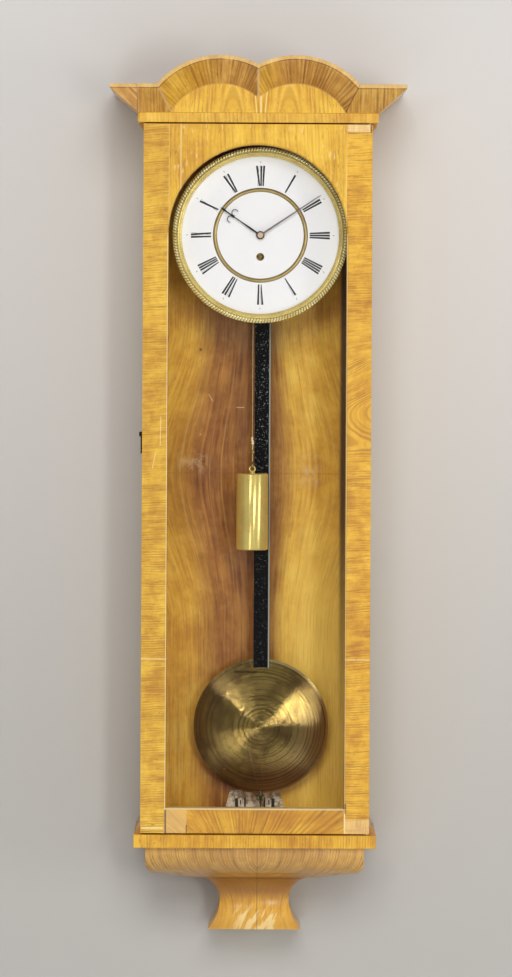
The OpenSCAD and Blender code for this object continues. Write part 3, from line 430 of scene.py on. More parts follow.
def stile_wood(name, tones, side, seed, slant):
    """Crossbanded stile: grain runs across it, and in one stretch the grain rises towards the right."""
    g = Graph(name)
    slant_low = foot + 560
    slant_high = foot + 660
    rising = g.between(g.z, slant_low, slant_high, 30)
    lean = g.x * (0.05 + rising * slant)
    across = g.z - lean
    parts = figure(g, across, g.x * 1.6, g.y, pitch=2.7, sway=5, seed=seed, ripple=1.6)
    colour = wood_colour(g, tones, parts, 0.5, 0.42, 0.16, 0.34)
    # Painted shade on the inner faces of the glazed opening.
    colour = shaded_reveal(g, colour, abs(g.x), 1.2, rgb(96, 58, 28), 0.8)
    arris = 1.5
    inner = open_left if side < 0 else open_right
    # Painted highlight along the inner arris of the glazed opening, below the arch.
    edge = g.between(g.x, inner - arris, inner + arris, 0.25)
    edge *= g.rise(g.z, door_arch_z + 4, door_arch_z - 4)
    edge *= g.rise(g.y, door_front + 1.8, door_front + 1.2)
    colour = g.tint(colour, PALE_LINE, edge, 0.8)
    joint_h = 305
    joint = g.patch(door_left, door_right, foot + joint_h, foot + joint_h + 1.1)
    colour = g.tint(colour, PALE_LINE, joint, 0.65)
    colour = (left_stile_marks if side < 0 else right_stile_marks)(g, colour)
    return finish_wood(g, colour, parts)


def shaded_reveal(g, colour, away, arris, stain, share):
    """Painted shade: darkens the inner faces of the glazed opening, from behind its arris, towards a dark
    tone.
    """
    inside = g.rise(away, open_right + 0.35, open_right + 0.15)
    behind = g.rise(g.y, door_front + arris, door_front + arris + 0.8)
    return g.tint(colour, stain, inside * behind, share)


def left_stile_marks(g, colour):
    """Pale scratches and the mended foot of the left stile."""
    light = g.most(
        scratch(g, door_left + 20, foot + 541, door_left + 20.5, foot + 572),
        scratch(g, door_left + 11.5, foot + 515, door_left + 15, foot + 533),
        g.patch(door_left + 1, open_left - 3, door_foot + 4.6, door_foot + 6.6))
    crack = g.patch(door_left, open_left - 2, door_foot + 1.6, door_foot + 2.6)
    pit = g.patch(door_left + 12, door_left + 16, door_foot + 8.5, door_foot + 9.8, 0.5)
    seam = g.patch(open_left - 1.6, open_left + 0.4, door_foot, door_foot + 26)
    dark = g.most(crack * 0.6, pit * 0.7, seam)
    return g.tints(colour, (PALE_LINE, light, 0.75), (DARK_LINE, dark, 0.75))


def right_stile_marks(g, colour):
    """The pale piece let in at the top of the right stile, the one at its foot, and a burn."""
    pale_grain = g.noise(g.x * 700, g.z * 60, 0, 2)
    pale = g.ramp(pale_grain, [(0.3, rgb(250, 222, 168)), (0.7, rgb(222, 182, 120))])
    top_piece = g.patch(open_right + 1, door_right - 2.4, door_top - 8.4, door_top + 1)
    foot_piece = g.patch(open_right + 1, door_right, door_foot - 1, door_foot + 16)
    below_piece = g.patch(open_right + 1, door_right, door_top - 9.4, door_top - 8.5, 0.2)
    beside_piece = g.patch(door_right - 2.4, door_right - 0.8, door_top - 9, door_top + 1, 0.2)
    burn = g.patch(open_right + 0.5, open_right + 2.6, door_foot + 22, door_foot + 33, 0.8)
    dark = g.most(below_piece * 0.5, beside_piece, burn * 0.8)
    return g.tints(colour, (pale, top_piece, 0.75), (pale, foot_piece, 0.5), (DARK_LINE, dark, 0.8))


def top_rail_marks(g, colour):
    """Painted shade on the inner face of the arch, a painted highlight on its arris, upright joints near both
    ends, and a bruise.
    """
    radius = g.polar(0, door_arch_z)[2]
    # Painted shade, near black, on the inner face of the arch.
    colour = shaded_reveal(g, colour, radius, 1, rgb(44, 26, 14), 0.92)
    # Painted highlight on the arch's arris, only on its left part.
    arris = g.between(radius, open_right - 1, open_right + 0.9, 0.25)
    front = g.rise(g.y, door_front + 1.4, door_front + 0.8)
    lit = g.rise(g.x, -28, -52) * front
    first = g.patch(open_left - 0.6, open_left + 0.4, door_arch_z, door_top)
    second = g.patch(open_left + 12.6, open_left + 13.8, door_arch_z + 30, door_top, 0.4)
    third = g.patch(open_right - 0.4, open_right + 0.6, door_arch_z, door_top)
    flecks = g.noise(g.x * 260, g.z * 70, 0, 2, 0.6)
    bruise = g.noise(g.x * 90, g.z * 110, 2, 3, 0.7)
    near = g.patch(open_left + 16, open_left + 52, door_top - 26, door_top - 4, 6)
    return g.tints(
        colour,
        (PALE_LINE, arris * lit, 0.8),
        (PALE_LINE, g.most(first, second, third), 0.55),
        (rgb(252, 218, 150), g.fade(flecks, 0.6, 0.72), 0.5),
        (rgb(196, 130, 62), g.fade(bruise, 0.5, 0.7) * near, 0.6))


def bottom_rail_marks(g, colour):
    """Pale top arris, the pieced-in block at the left end and the crack beside it."""
    rail_top = high("bottom_rail", "z")
    arris = g.between(g.z, rail_top - 1.7, rail_top + 1, 0.3)
    block = g.patch(open_left, open_left + 23, door_foot - 1, rail_top - 2)
    seam = g.patch(open_left - 1, open_left + 0.6, door_foot, rail_top - 2, 0.25)
    crack = g.patch(open_left + 22.2, open_left + 23.4, door_foot - 1, door_foot + 9, 0.25)
    return g.tints(colour, (rgb(252, 230, 176), arris, 0.8), (rgb(236, 196, 128), block, 0.5),
                   (DARK_LINE, g.most(seam, crack), 0.8))


def bottom_rail_wood():
    """Flame figure that fans out from a point below the bottom rail."""
    g = Graph("foot_rail_veneer")
    fan_x = -14
    fan_below = 60
    right = g.x - fan_x * MM
    up = g.z - door_foot * MM + fan_below * MM
    across = g.math("ARCTAN2", right, up) * (fan_below * 1.2 * MM)
    parts = figure(g, across, g.z, g.y, pitch=3.4, sway=5, seed=7)
    colour = wood_colour(g, RUSSET, parts, 0.5, 0.36)
    return finish_wood(g, bottom_rail_marks(g, colour), parts)


def panel_wood():
    """Book-matched pediment veneer: nested arches of grain on each side of a pale centre joint."""
    g = Graph("pediment_veneer")
    joint_x = 3
    arch_middle = 31
    stretch = 0.2
    side = abs(g.x - joint_x * MM)
    off = side - arch_middle * MM
    up = (g.z - (pediment_z - 45) * MM) * stretch
    across = g.math("SQRT", off * off + up * up)
    parts = figure(g, across, g.z, g.y, pitch=4.4, sway=11, seed=2)
    colour = wood_colour(g, GOLDEN, parts, 0.42, 0.3)
    streaks = g.noise(across * 240, up * 8, 3, 2, 0.5)
    near = g.rise(side, 26, 3)
    light = g.fade(streaks, 0.54, 0.66) * (0.15 + near * 0.6)
    colour = g.mix(light, colour, rgb(252, 226, 146))
    joint = g.between(g.x, joint_x - 0.8, joint_x + 0.8, 0.5)
    colour = g.tint(colour, rgb(250, 230, 180), joint, 0.65)
    return finish_wood(g, raw_back(g, colour, high("pediment_panel", "y")), parts)


def mitre_line(g, colour, side):
    """The joint between a straight cornice moulding and the arch beside it."""
    foot_x = abs(high("left_cornice", "x"))
    lean = arch_x + arch_half - foot_x
    up = (g.z - pediment_z * MM) * (lean / (cornice_z - pediment_z))
    off = g.x * side - foot_x * MM - up
    line = g.between(off, -0.9, 0.9, 0.35)
    tone, share = JOINTS[side]
    return g.tint(colour, tone, line, share)


def finish_fillet(g, colour, parts, height, top):
    """Lighter fillet along the top of a cornice moulding, with a dark line under it."""
    fillet = 4
    light = g.between(height, top - fillet, top + 2 * fillet, 0.2)
    line = g.between(height, top - fillet * 1.25, top - fillet, 0.15)
    wear = g.even(90, 3, 0.7)
    cream = g.ramp(wear, [(0.35, rgb(214, 170, 98)), (0.65, rgb(238, 202, 132))])
    colour = g.tint(colour, cream, light, 0.7)
    colour = g.tint(colour, DARK_LINE, line * 0.6, g.fade(wear, 0.7, 0.4))
    return finish_wood(g, colour, parts)


def arch_wood(name, side, dark_x, light_x):
    """Moulding with its grain towards the arch's centre. It turns paler from dark_x to light_x."""
    g = Graph(name)
    width = 30
    right, up, radius = g.polar(side * arch_x, arch_top - arch_outer_r)
    arc = g.math("ARCTAN2", right, up) * ((arch_outer_r - width / 2) * MM)
    parts = figure(g, arc, radius, g.y, pitch=3.9, sway=3, seed=side * 3, ripple=1.6)
    colour = wood_colour(g, BROWN, parts, 0.58, 0.42, 0.3, 0.5)
    pale = wood_colour(g, HONEY, parts, 0.5, 0.42, 0.3, 0.4)
    lit = g.rise(g.x, dark_x, light_x)
    inner = g.between(radius, arch_outer_r - width - 1, arch_outer_r - width + 1.2, 0.3)
    valley = g.between(g.x, -1.1, 1.1, 0.4)
    colour = g.tints(colour, (pale, lit, 0.75), (rgb(224, 192, 138), inner, 0.5),
                     (rgb(236, 206, 156), valley, 0.55))
    colour = mitre_line(g, colour, side)
    return finish_fillet(g, colour, parts, radius, arch_outer_r)


def cornice_wood(name, gold, side=0):
    """Straight moulding, veneered across its length. Side 0 stands for both returns."""
    g = Graph(name)
    across, depth = g.x, g.y
    if side == 0:
        front = low("left_return", "y")
        on_end = g.rise(g.y, front + 1.4, front + 0.9)
        slanted = (g.z - abs(g.x)) * 0.8
        across, depth = g.y + on_end * slanted, g.x
    parts = figure(g, across, g.z, depth, pitch=3.6, sway=4, seed=3)
    colour = wood_colour(g, BROWN, parts, 0.62, 0.5, 0.3, 0.6)
    pale = wood_colour(g, HONEY, parts, 0.5, 0.4)
    colour = g.mix(gold, colour, pale)
    if side:
        colour = mitre_line(g, colour, side)
    if side < 0:
        end = low("left_cornice", "x")
        seam = g.between(g.x, end - 0.4, end + 1.4, 0.3)
        colour = g.tint(colour, rgb(226, 200, 158), seam, 0.75)
    return finish_fillet(g, colour, parts, g.z, cornice_z)


def back_wood():
    """Quarter-matched back veneer: red heart in the middle, gold outside, mirrored both ways, with painted
    light, painted shade and painted shadows.
    """
    g = Graph("back_veneer")
    joint_h = 506
    side = abs(g.x - 2 * MM)
    up = abs(g.z - (foot + joint_h) * MM)
    near = g.rise(up, 165, -20)
    widen = 1 + near * 0.6
    drift = g.noise(side * 9, up * 5, 0, 2)
    bent = side / widen + (drift - 0.5) * (8 * MM)
    parts = figure(g, bent, up, g.y, pitch=4.2, sway=2, seed=1, ripple=0.9)
    red = wood_colour(g, INNER_RED, parts, 0.22, 0.46, 0.2, 0.4)
    gold = wood_colour(g, INNER_GOLD, parts, 0.14, 0.36, 0.2, 0.3)
    left = g.rise(g.x, 4, 0)
    heart_edge = 26 * MM + left * (36 * MM)
    outside = 5 * MM + left * (14 * MM)
    inside = -12 * MM - left * (12 * MM)
    heart = g.fade(bent - heart_edge, outside, inside)
    colour = g.mix(heart * (0.85 + left * 0.15), gold, red)
    strands = g.noise(bent * 330, up * 4, 0, 3, 0.6)
    sheen = g.fade(strands, 0.52, 0.72) * (0.45 + near * 0.3)
    dark_strands = g.noise(bent * 260, up * 4, 5, 3, 0.6)
    sunlit = g.rise(g.x, 20, 60) * g.rise(g.z, foot + joint_h, foot + 300)
    fibres = parts[1]
    shaded = g.rise(g.x, -25, -65) * g.rise(g.z, foot + 480, foot + 260)
    # Painted shadow of the pendulum rod: a darker band on the back board behind it.
    rod_shadow = g.between(g.x, -22, 28, 10)
    seam = g.between(g.z, foot + joint_h - 0.8, foot + joint_h + 0.8, 0.7)
    knot = g.patch(-65, -62, foot + 644, foot + 647, 0.9)
    # Painted shadow of the right stile: a dark strip along the right edge of the back board.
    stile_shadow = g.rise(g.x, 92, 96.5) * g.rise(g.z, foot + 100, foot + 520)
    colour = g.tints(
        colour,
        (rgb(240, 196, 96), sheen, 0.5),
        (rgb(128, 76, 28), g.fade(dark_strands, 0.54, 0.74), 0.12 + left * 0.3),
        (rgb(255, 216, 96), sunlit, 0.75),
        (rgb(*INNER_GOLD[3]), sunlit * g.fade(fibres, 0.48, 0.7), 0.34),
        (rgb(150, 96, 34), shaded, 0.22),
        (rgb(104, 56, 18), rod_shadow, 0.22),
        (rgb(110, 66, 30), seam, 0.16),
        (rgb(232, 204, 156), back_marks(g), 1),
        (DARK_LINE, knot, 0.8),
        (rgb(50, 26, 12), stile_shadow, 0.9))
    return finish_wood(g, raw_back(g, colour, 0), parts, 0.08, 0.46)


def back_marks(g):
    """Dust, light scratches and two hazy spots of worn polish on the back veneer."""
    specks = g.fade(g.noise(g.x * 150, g.z * 150, 0, 1), 0.8, 0.84)
    bruise = scratch(g, -50, foot + 588, -54, foot + 595, 1) * 0.7
    nick = g.patch(-23, -14, foot + 580, foot + 580.9, 0.4) * 0.7
    cloud = g.noise(g.x * 120, g.z * 90, 1, 4, 0.7)
    left_haze = g.patch(-86, -56, foot + 508, foot + 528, 9)
    right_haze = g.patch(50, 72, foot + 492, foot + 526, 8)
    haze = (left_haze + right_haze) * g.fade(cloud, 0.42, 0.62)
    return g.most(specks, bruise, nick, haze * 0.36)


def drop_wood():
    """Bottom bracket: upright grain that leans to a middle joint, painted shade in the hollow, painted light
    low on the foot, chips at the foot.
    """
    g = Graph("bracket_veneer")
    joint_x = 3
    side = abs(g.x - joint_x * MM)
    up = g.z - foot * MM
    lean = side + g.rise(up, 70, 0) * (g.rise(side, 0, 30) * (9 * MM))
    parts = figure(g, lean + g.y * 0.8, g.z, g.y, pitch=3.2, sway=8, seed=5)
    upper = wood_colour(g, DUN, parts, 0.5, 0.42)
    lower = wood_colour(g, AMBER, parts, 0.5, 0.42)
    # Painted shade in the hollow, which faces down.
    hollow_shade = g.between(up, 34, 62, 9)
    chips = g.noise((g.x - g.z * 0.5) * 160, g.z * 40, 0, 2)
    low_part = g.rise(up, 30, 12) * g.rise(side, 34, 14)
    chip = g.fade(chips, 0.5, 0.58) * low_part
    joint = g.between(g.x, joint_x - 0.5, joint_x + 0.5, 0.4)
    colour = g.tints(
        g.mix(g.rise(up, 52, 26), upper, lower),
        (rgb(150, 97, 42), hollow_shade, 0.74),
        # Painted light on the foot, which faces up.
        (rgb(244, 198, 116), g.rise(up, 34, 6), 0.45),
        (rgb(254, 230, 168), chip, 0.8),
        (DARK_LINE, joint, 0.5))
    return finish_wood(g, raw_back(g, colour, 0), parts)


def dress_case():
    """Woods of the case, the door and the cornice."""
    dress(stile_wood("left_crossband", HONEY, -1, 0, 0), "left_stile")
    dress(stile_wood("right_crossband", AMBER, 1, 6, 0.5), "right_stile")
    dress(wood("rail_veneer", GOLDEN, top_rail_marks, pitch=4.2, sway=10, seed=2,
               weights=(0.3, 0.34, 0.35)), "top_rail")
    dress(bottom_rail_wood(), "bottom_rail")
    dress(wood("side_veneer", HONEY, pitch=4, sway=10, seed=4), "left_side", "right_side")
    dress(wood("base_edge", AMBER, pitch=3, sway=6, seed=8, back_y=0), "base_board")
    dress(wood("pale_band", BAND, pitch=4, sway=6, seed=9, back_y=0), "top_board")
    dress(panel_wood(), "pediment_panel")
    dress(wood("secondary_wood", PLAIN, level=True, pitch=5, sway=10, seed=6), "pediment_sides")
    dress(wood("bead_wood", BROWN, pitch=4, sway=6, seed=11), "glass_beads")
    dress(wood("moulding_wood", BROWN, level=True, pitch=4, sway=6, seed=12), "side_mouldings")
    dress(back_wood(), "back_board")
    dress(drop_wood(), "drop_console")
    dress(arch_wood("right_arch_veneer", 1, 34, 4), "right_arch_moulding")
    dress(arch_wood("left_arch_veneer", -1, -34, -76), "left_arch_moulding")
    dress(cornice_wood("left_cornice_veneer", 0.25, -1), "left_cornice")
    dress(cornice_wood("right_cornice_veneer", 0.2, 1), "right_cornice")
    dress(cornice_wood("return_veneer", 0.1), "left_return", "right_return")
    soften(0.7, "left_stile", "right_stile", "top_rail", "bottom_rail")
    soften(0.8, "base_board", "top_board", "drop_console", "pediment_panel")
    soften(0.6, "left_cornice", "right_cornice", "left_return", "right_return",
           "left_arch_moulding", "right_arch_moulding", "left_side", "right_side")


# Metals, enamel and glass
def metal(name, colour, stain, roughness, brush=(1, 1, 1), pure=1):
    """Brushed metal with a slight tarnish. The brush gives how fast the scratches vary along X, Y and Z."""
    g = Graph(name)
    tarnish = g.even(60, 4, 0.65)
    fine = g.even(1600, brush=brush)
    body = g.tint(rgb(*colour), rgb(*stain), g.fade(tarnish, 0.38, 0.72), 0.55)
    rough = roughness + fine * 0.16
    return g.shader(body, rough, g.bump(fine, 0.006), Metallic=pure)


def enamel():
    """Glassy white enamel with a faint unevenness."""
    g = Graph("enamel")
    colour = g.mix(g.even(40), rgb(253, 253, 254), rgb(246, 246, 249))
    ripple = g.even(70, 1)
    return g.shader(colour, 0.2, g.bump(ripple, 0.04), Coat_Weight=0.3, Coat_Roughness=0.05)


def minute_steel():
    """Thin grey-brown minute hand, paler than the hour hand, with a bright collet at its centre."""
    g = Graph("minute_hand_steel")
    radius = g.polar(dial_x, dial_z)[2]
    worn = g.even(300, 3)
    colour = g.mix(worn, rgb(112, 102, 100), rgb(150, 134, 126))
    collet = g.rise(radius, 3.3, 2.9)
    colour = g.mix(collet, colour, rgb(224, 196, 168))
    return g.shader(colour, 0.3, g.bump(worn, 0.02), Metallic=0.8)


def ebony():
    """Ebonised pear: black lacquer with dust specks, fine rubs and a painted highlight along its right edge.
    """
    g = Graph("ebonised_rod")
    dust = g.even(640, 1)
    dusty = g.rise(g.z, high("bob_shells", "z"), -250)
    rubs = g.noise(g.x * 900, g.y * 900, g.z * 30, 3)
    rod_right = high("pendulum_rod", "x")
    colour = g.tints(
        rgb(5, 5, 7),
        (rgb(170, 170, 172), g.fade(dust, 0.64, 0.74), 0.2 + dusty * 0.6),
        (rgb(52, 46, 42), g.fade(rubs, 0.55, 0.8), 0.2),
        # Painted highlight along the rod's right edge.
        (rgb(176, 184, 178), g.rise(g.x, rod_right - 1.6, rod_right - 1), 0.85))
    roughness = 0.28 + rubs * 0.25
    return g.shader(colour, roughness, g.bump(rubs, 0.03), Specular_IOR_Level=0.1)


def bob_damage(g, colour):
    """A dark slit below the rod's end, and three scratches across the lower half."""
    slit_z = bob_z + 61
    dark_slit = scratch(g, bob_x - 19, slit_z - 0.9, bob_x - 17, slit_z + 0.9, 26)
    long_scratch = scratch(g, bob_x - 3, bob_z - 68, bob_x - 13, bob_z - 26, 0.8)
    short_scratch = scratch(g, bob_x + 3, bob_z - 66, bob_x + 1, bob_z - 42, 0.8)
    low_scratch = scratch(g, bob_x - 2, bob_z - 66, bob_x - 7, bob_z - 52, 0.7)
    light = g.most(long_scratch, short_scratch, low_scratch)
    colour = g.tint(colour, rgb(196, 160, 130), light, 0.45)
    return g.tint(colour, rgb(34, 24, 14), dark_slit, 0.85)


def bob_brass():
    """Brass turned in fine circles, whose highlights spread in bright fans, with painted sheen at the lower
    right and on the right rim and painted shade on the left.
    """
    g = Graph("turned_brass")
    right, up, radius = g.polar(bob_x, bob_z)
    lines = g.noise(radius * 1300, 0, 0, 3, 0.75)
    grooves = g.noise(radius * 420, 3, right * 3, 2, 0.6)
    tarnish = g.even(34, 4, 0.6)
    spots = g.even(210)
    colour = g.mix(g.fade(tarnish, 0.35, 0.7), rgb(160, 138, 78), rgb(108, 86, 54))
    lower_right = right - up * 0.8
    # Painted sheen on the lower right of the bob.
    lower_right_sheen = g.rise(lower_right, 8, 62) * g.rise(radius, 24, 56)
    # Painted sheen on the right part of the rim.
    rim_sheen = g.rise(radius, bob_r - 3.5, bob_r - 1.5) * g.rise(right, -30, 30)
    colour = g.tints(
        colour,
        (rgb(206, 178, 122), lower_right_sheen, 0.55),
        # Painted shade towards the left of the bob.
        (rgb(104, 84, 58), g.rise(right, -18, -54), 0.35),
        (rgb(92, 68, 42), g.fade(grooves, 0.48, 0.6), 0.55),
        (rgb(66, 50, 26), g.fade(lines, 0.58, 0.74), 0.45),
        (rgb(206, 190, 140), g.fade(spots, 0.7, 0.78), 0.5),
        (rgb(222, 204, 140), rim_sheen, 0.8))
    colour = bob_damage(g, colour)
    rough = 0.15 + lines * 0.04
    tangent = g.node("ShaderNodeTangent", {}, direction_type="RADIAL", axis="Y")
    normal = g.bump(grooves, 0.02, g.bump(lines, 0.11))
    return g.shader(colour, rough, normal, Metallic=0.9, Anisotropic=1, Anisotropic_Rotation=0.25,
                    Tangent=tangent.outputs[0])


def clear_glass():
    """Old window glass: clear from the front, denser where it is seen aslant."""
    g = Graph("window_glass")
    rough = 0.02 + g.even(12) * 0.04
    facing = g.node("ShaderNodeLayerWeight", {"Blend": 0.25})
    alpha = 0.025 + g.math("POWER", facing.outputs["Facing"], 3) * 0.45
    return g.shader(rgb(30, 36, 34), rough, None, Specular_IOR_Level=0.25, Alpha=alpha)


def bone():
    """Off-white bone of the beat scale, soiled in patches."""
    g = Graph("scale_bone")
    soil = g.even(150, 4, 0.7)
    colour = g.mix(g.fade(soil, 0.4, 0.66), rgb(240, 230, 204), rgb(146, 122, 88))
    return g.shader(colour, 0.5, g.bump(soil, 0.05))


def ink(name, colour):
    """Fired paint with slight unevenness."""
    g = Graph(name)
    return g.shader(g.tint(colour, rgb(66, 68, 70), g.even(900), 0.4), 0.4)


def gut():
    """Translucent twisted gut."""
    g = Graph("gut_fibre")
    fibres = g.noise(g.x * 1500, g.y * 1500, g.z * 260, 3)
    colour = g.mix(g.fade(fibres, 0.35, 0.7), rgb(206, 184, 132), rgb(140, 116, 72))
    return g.shader(colour, 0.45, g.bump(fibres, 0.05), Subsurface_Weight=0.15)


def dress_metals():
    """Finishes of everything that isn't wood."""
    brass = metal("brass", (244, 222, 138), (206, 180, 100), 0.3)
    aged = metal("aged_brass", (204, 182, 124), (160, 138, 88), 0.32)
    plates = metal("plate_brass", (190, 158, 88), (146, 114, 58), 0.3, (0.05, 1, 1))
    steel = metal("steel", (150, 150, 152), (104, 100, 96), 0.26)
    iron = metal("iron", (54, 50, 48), (84, 58, 40), 0.45)
    blued = metal("blued_steel", (48, 46, 52), (70, 64, 62), 0.28)
    weight = metal("weight_brass", (230, 208, 122), (204, 178, 98), 0.12, (1, 1, 0.02), 0.42)
    dress(aged, "dial_ring", "rating_nut")
    dress(brass, "bezel", "dial_feet", "hanger_plate", "hinge_pins", "hinge_sockets", "plate_pillars",
          "movement_bracket", "suspension_cock", "hour_wheel", "great_wheel", "centre_wheel", "minute_wheel",
          "third_wheel", "escape_wheel")
    dress(plates, "back_plate", "front_plate")
    dress(metal("barrel_brass", (150, 132, 92), (92, 80, 56), 0.34), "winding_barrel")
    dress(steel, "hanger_screws", "click", "anchor_and_crutch", "suspension_spring", "rating_screw",
          "bob_core")
    dress(iron, "hook_peg", "hook_screw", "side_hook")
    dress(metal("hook_wire", (206, 184, 132), (70, 50, 28), 0.4), "weight_hook")
    dress(blued, "hour_hand")
    dress(minute_steel(), "minute_hand")
    dress(metal("dial_plate_brass", (112, 100, 76), (84, 72, 54), 0.4), "dial_plate")
    dress(weight, "weight")
    dress(bob_brass(), "bob_shells")
    dress(enamel(), "chapter_ring", "centre_disc")
    dress(ebony(), "pendulum_rod")
    dress(clear_glass(), "door_glass")
    dress(bone(), "beat_scale")
    dress(gut(), "gut_line")
    soften(0.5, "pendulum_rod", "weight", "beat_scale")


# Pieces that the frame carries as plain solids, or not at all
def mesh_of(bm, name):
    """The mesh of a bmesh, with its faces turned outwards."""
    bmesh.ops.recalc_face_normals(bm, faces=bm.faces)
    mesh = bpy.data.meshes.new(name)
    bm.to_mesh(mesh)
    bm.free()
    return mesh


def new_piece(name, mesh, body, material):
    """A finished mesh as a piece that rides on a body, or on none yet."""
    made = bpy.data.objects.new(name, mesh)
    scene.collection.objects.link(made)
    mesh.materials.append(material)
    if body is not None:
        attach(made, body)
    return made


def level_ring(x, y, z, sides, radius, wave=0, waves=1, shift=0):
    """A level ring of points round an upright axis. Waves swell and shrink it, shifted by an angle."""
    ring = []
    for side in range(sides):
        turn = 2 * math.pi * side / sides
        away = radius + wave * math.cos(waves * (turn - shift))
        ring.append((x + away * math.cos(turn), y + away * math.sin(turn), z))
    return ring


def skin(bm, rings):
    """Faces over rings of points in millimetres and over both ends. Each ring has the same count."""
    made = [[bm.verts.new(Vector(p) * MM) for p in ring] for ring in rings]
    count = len(rings[0])
    for a, b in zip(made, made[1:]):
        for i in range(count):
            bm.faces.new((a[i], a[(i + 1) % count], b[(i + 1) % count], b[i]))
    bm.faces.new(made[0][::-1])
    bm.faces.new(made[-1])


def loft(rings):
    """A closed mesh skinned over rings of points."""
    bm = bmesh.new()
    skin(bm, rings)
    return mesh_of(bm, "loft")


def turned_ring(profile, steps, swell=None):
    """A ring round the dial's axis from a closed profile of (radius, depth). Swell moves points by angle."""
    bm = bmesh.new()
    turns = []
    for step in range(steps):
        angle = 2 * math.pi * step / steps
        ring = []
        for index, (radius, depth) in enumerate(profile):
            if swell is not None:
                radius, depth = swell(index, radius, depth, angle)
            place = Vector((dial_x + radius * math.sin(angle), -depth, dial_z + radius * math.cos(angle)))
            ring.append(bm.verts.new(place * MM))
        turns.append(ring)
    count = len(profile)
    for a, b in zip(turns, turns[1:] + turns[:1]):
        for i in range(count):
            bm.faces.new((a[i], b[i], b[(i + 1) % count], a[(i + 1) % count]))
    return mesh_of(bm, "ring")


def smooth(piece, angle=35):
    """Smooth shading with crisp edges where faces meet at more than an angle."""
    for face in piece.data.polygons:
        face.use_smooth = True
    piece.data.set_sharp_from_angle(angle=math.radians(angle))


def milled_brass(ribs, twist, band_in, band_out):
    """Bright slanted ribs with grime between them, in step with the ribs of the mesh."""
    g = Graph("milled_brass")
    right, up, radius = g.polar(dial_x, dial_z)
    share = (band_out * MM - radius) / ((band_out - band_in) * MM)
    turn = g.math("ARCTAN2", right, up) * (ribs / 2) + (2 * twist + share * (3 * twist))
    rise = abs(g.math("SINE", turn))
    stain = g.even(50, 3, 0.6)
    ridge = g.mix(g.fade(stain, 0.4, 0.7), rgb(255, 244, 178), rgb(234, 206, 122))
    colour = g.mix(g.fade(rise, 0.6, 0.22) * 0.85, ridge, rgb(104, 74, 28))
    return g.shader(colour, 0.26, None, Metallic=0.4)


def make_bezel(brass):
    """Stepped inner part with a polished bead, and round it a band with a milled edge."""
    back = -high("bezel", "y")
    front = -low("bezel", "y")
    outer = half("bezel")
    inner = enamel_r
    bead_middle = inner + 3.9
    bead_r = 0.95
    step_r = outer - 1.4
    body = [(inner, back), (step_r, back), (step_r, front - 3.2), (bead_middle + bead_r, front - 3.2)]
    for step in range(9):
        turn = math.pi * step / 8
        body.append((bead_middle + bead_r * math.cos(turn), front - bead_r + bead_r * math.sin(turn)))
    body += [(inner + 2.8, front - 1.6), (inner + 2.2, front - 1.4), (inner + 1.5, front - 1.9),
             (inner + 1.2, front - 3.4), (inner + 0.4, front - 3.7), (inner, front - 4.2)]
    smooth(finish_bezel("bezel_body", turned_ring(body, 240), brass))
    ribs = 184
    deep = 0.8
    twist = 0.5
    band_in = bead_middle + bead_r + 0.7
    band = [(band_in, back + 3), (outer - 0.2, back + 0.2), (outer - 0.05, front - 2.2),
            (outer - 0.5, front - 0.9), ((outer + band_in) / 2, front - 0.1), (band_in + 0.5, front - 0.6),
            (band_in, front - 2)]

    def milling(index, radius, depth, angle):
        rise = abs(math.sin(ribs * angle / 2 + twist * index))
        pull = {2: 0.6, 3: 1, 4: 1, 5: 0.5}.get(index, 0)
        return radius - 0.3 * deep * pull * (1 - rise), depth - deep * pull * (1 - rise)
    mesh = turned_ring(band, ribs * 6, milling)
    finish_bezel("bezel_milling", mesh, milled_brass(ribs, twist, band_in, outer))


def finish_bezel(name, mesh, brass):
    """A part of the bezel as a piece that stands for the plain ring."""
    piece = new_piece(name, mesh, "case", brass)
    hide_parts("bezel")
    return piece


def enamel_depth(radius):
    """Depth of the chapter ring's front at a radius: highest in the middle, lower at both rims."""
    crown = -low("chapter_ring", "y")
    middle_r = (ring_out_r + enamel_r) / 2
    inner_drop = 0.2
    outer_drop = 0.8
    if radius < middle_r:
        return crown - inner_drop * (middle_r - radius) / (middle_r - ring_out_r)
    return crown - outer_drop * (radius - middle_r) / (enamel_r - middle_r)


def stroke(bm, angle, r0, r1, offset0, offset1, width0, width1):
    """A thin raised stroke of paint on the chapter ring, from an inner to an outer radius."""
    steps = 5
    sunk = 0.03
    proud = 0.07
    rings = []
    for step in range(steps + 1):
        share = step / steps
        radius = r0 + (r1 - r0) * share
        offset = offset0 + (offset1 - offset0) * share
        half_width = (width0 + (width1 - width0) * share) / 2
        depth = enamel_depth(radius)
        ring = []
        for side, lift in ((-1, -sunk), (1, -sunk), (1, proud), (-1, proud)):
            along = offset + side * half_width
            x = radius * math.sin(angle) + along * math.cos(angle)
            z = radius * math.cos(angle) - along * math.sin(angle)
            ring.append((dial_x + x, -depth - lift, dial_z + z))
        rings.append(ring)
    skin(bm, rings)


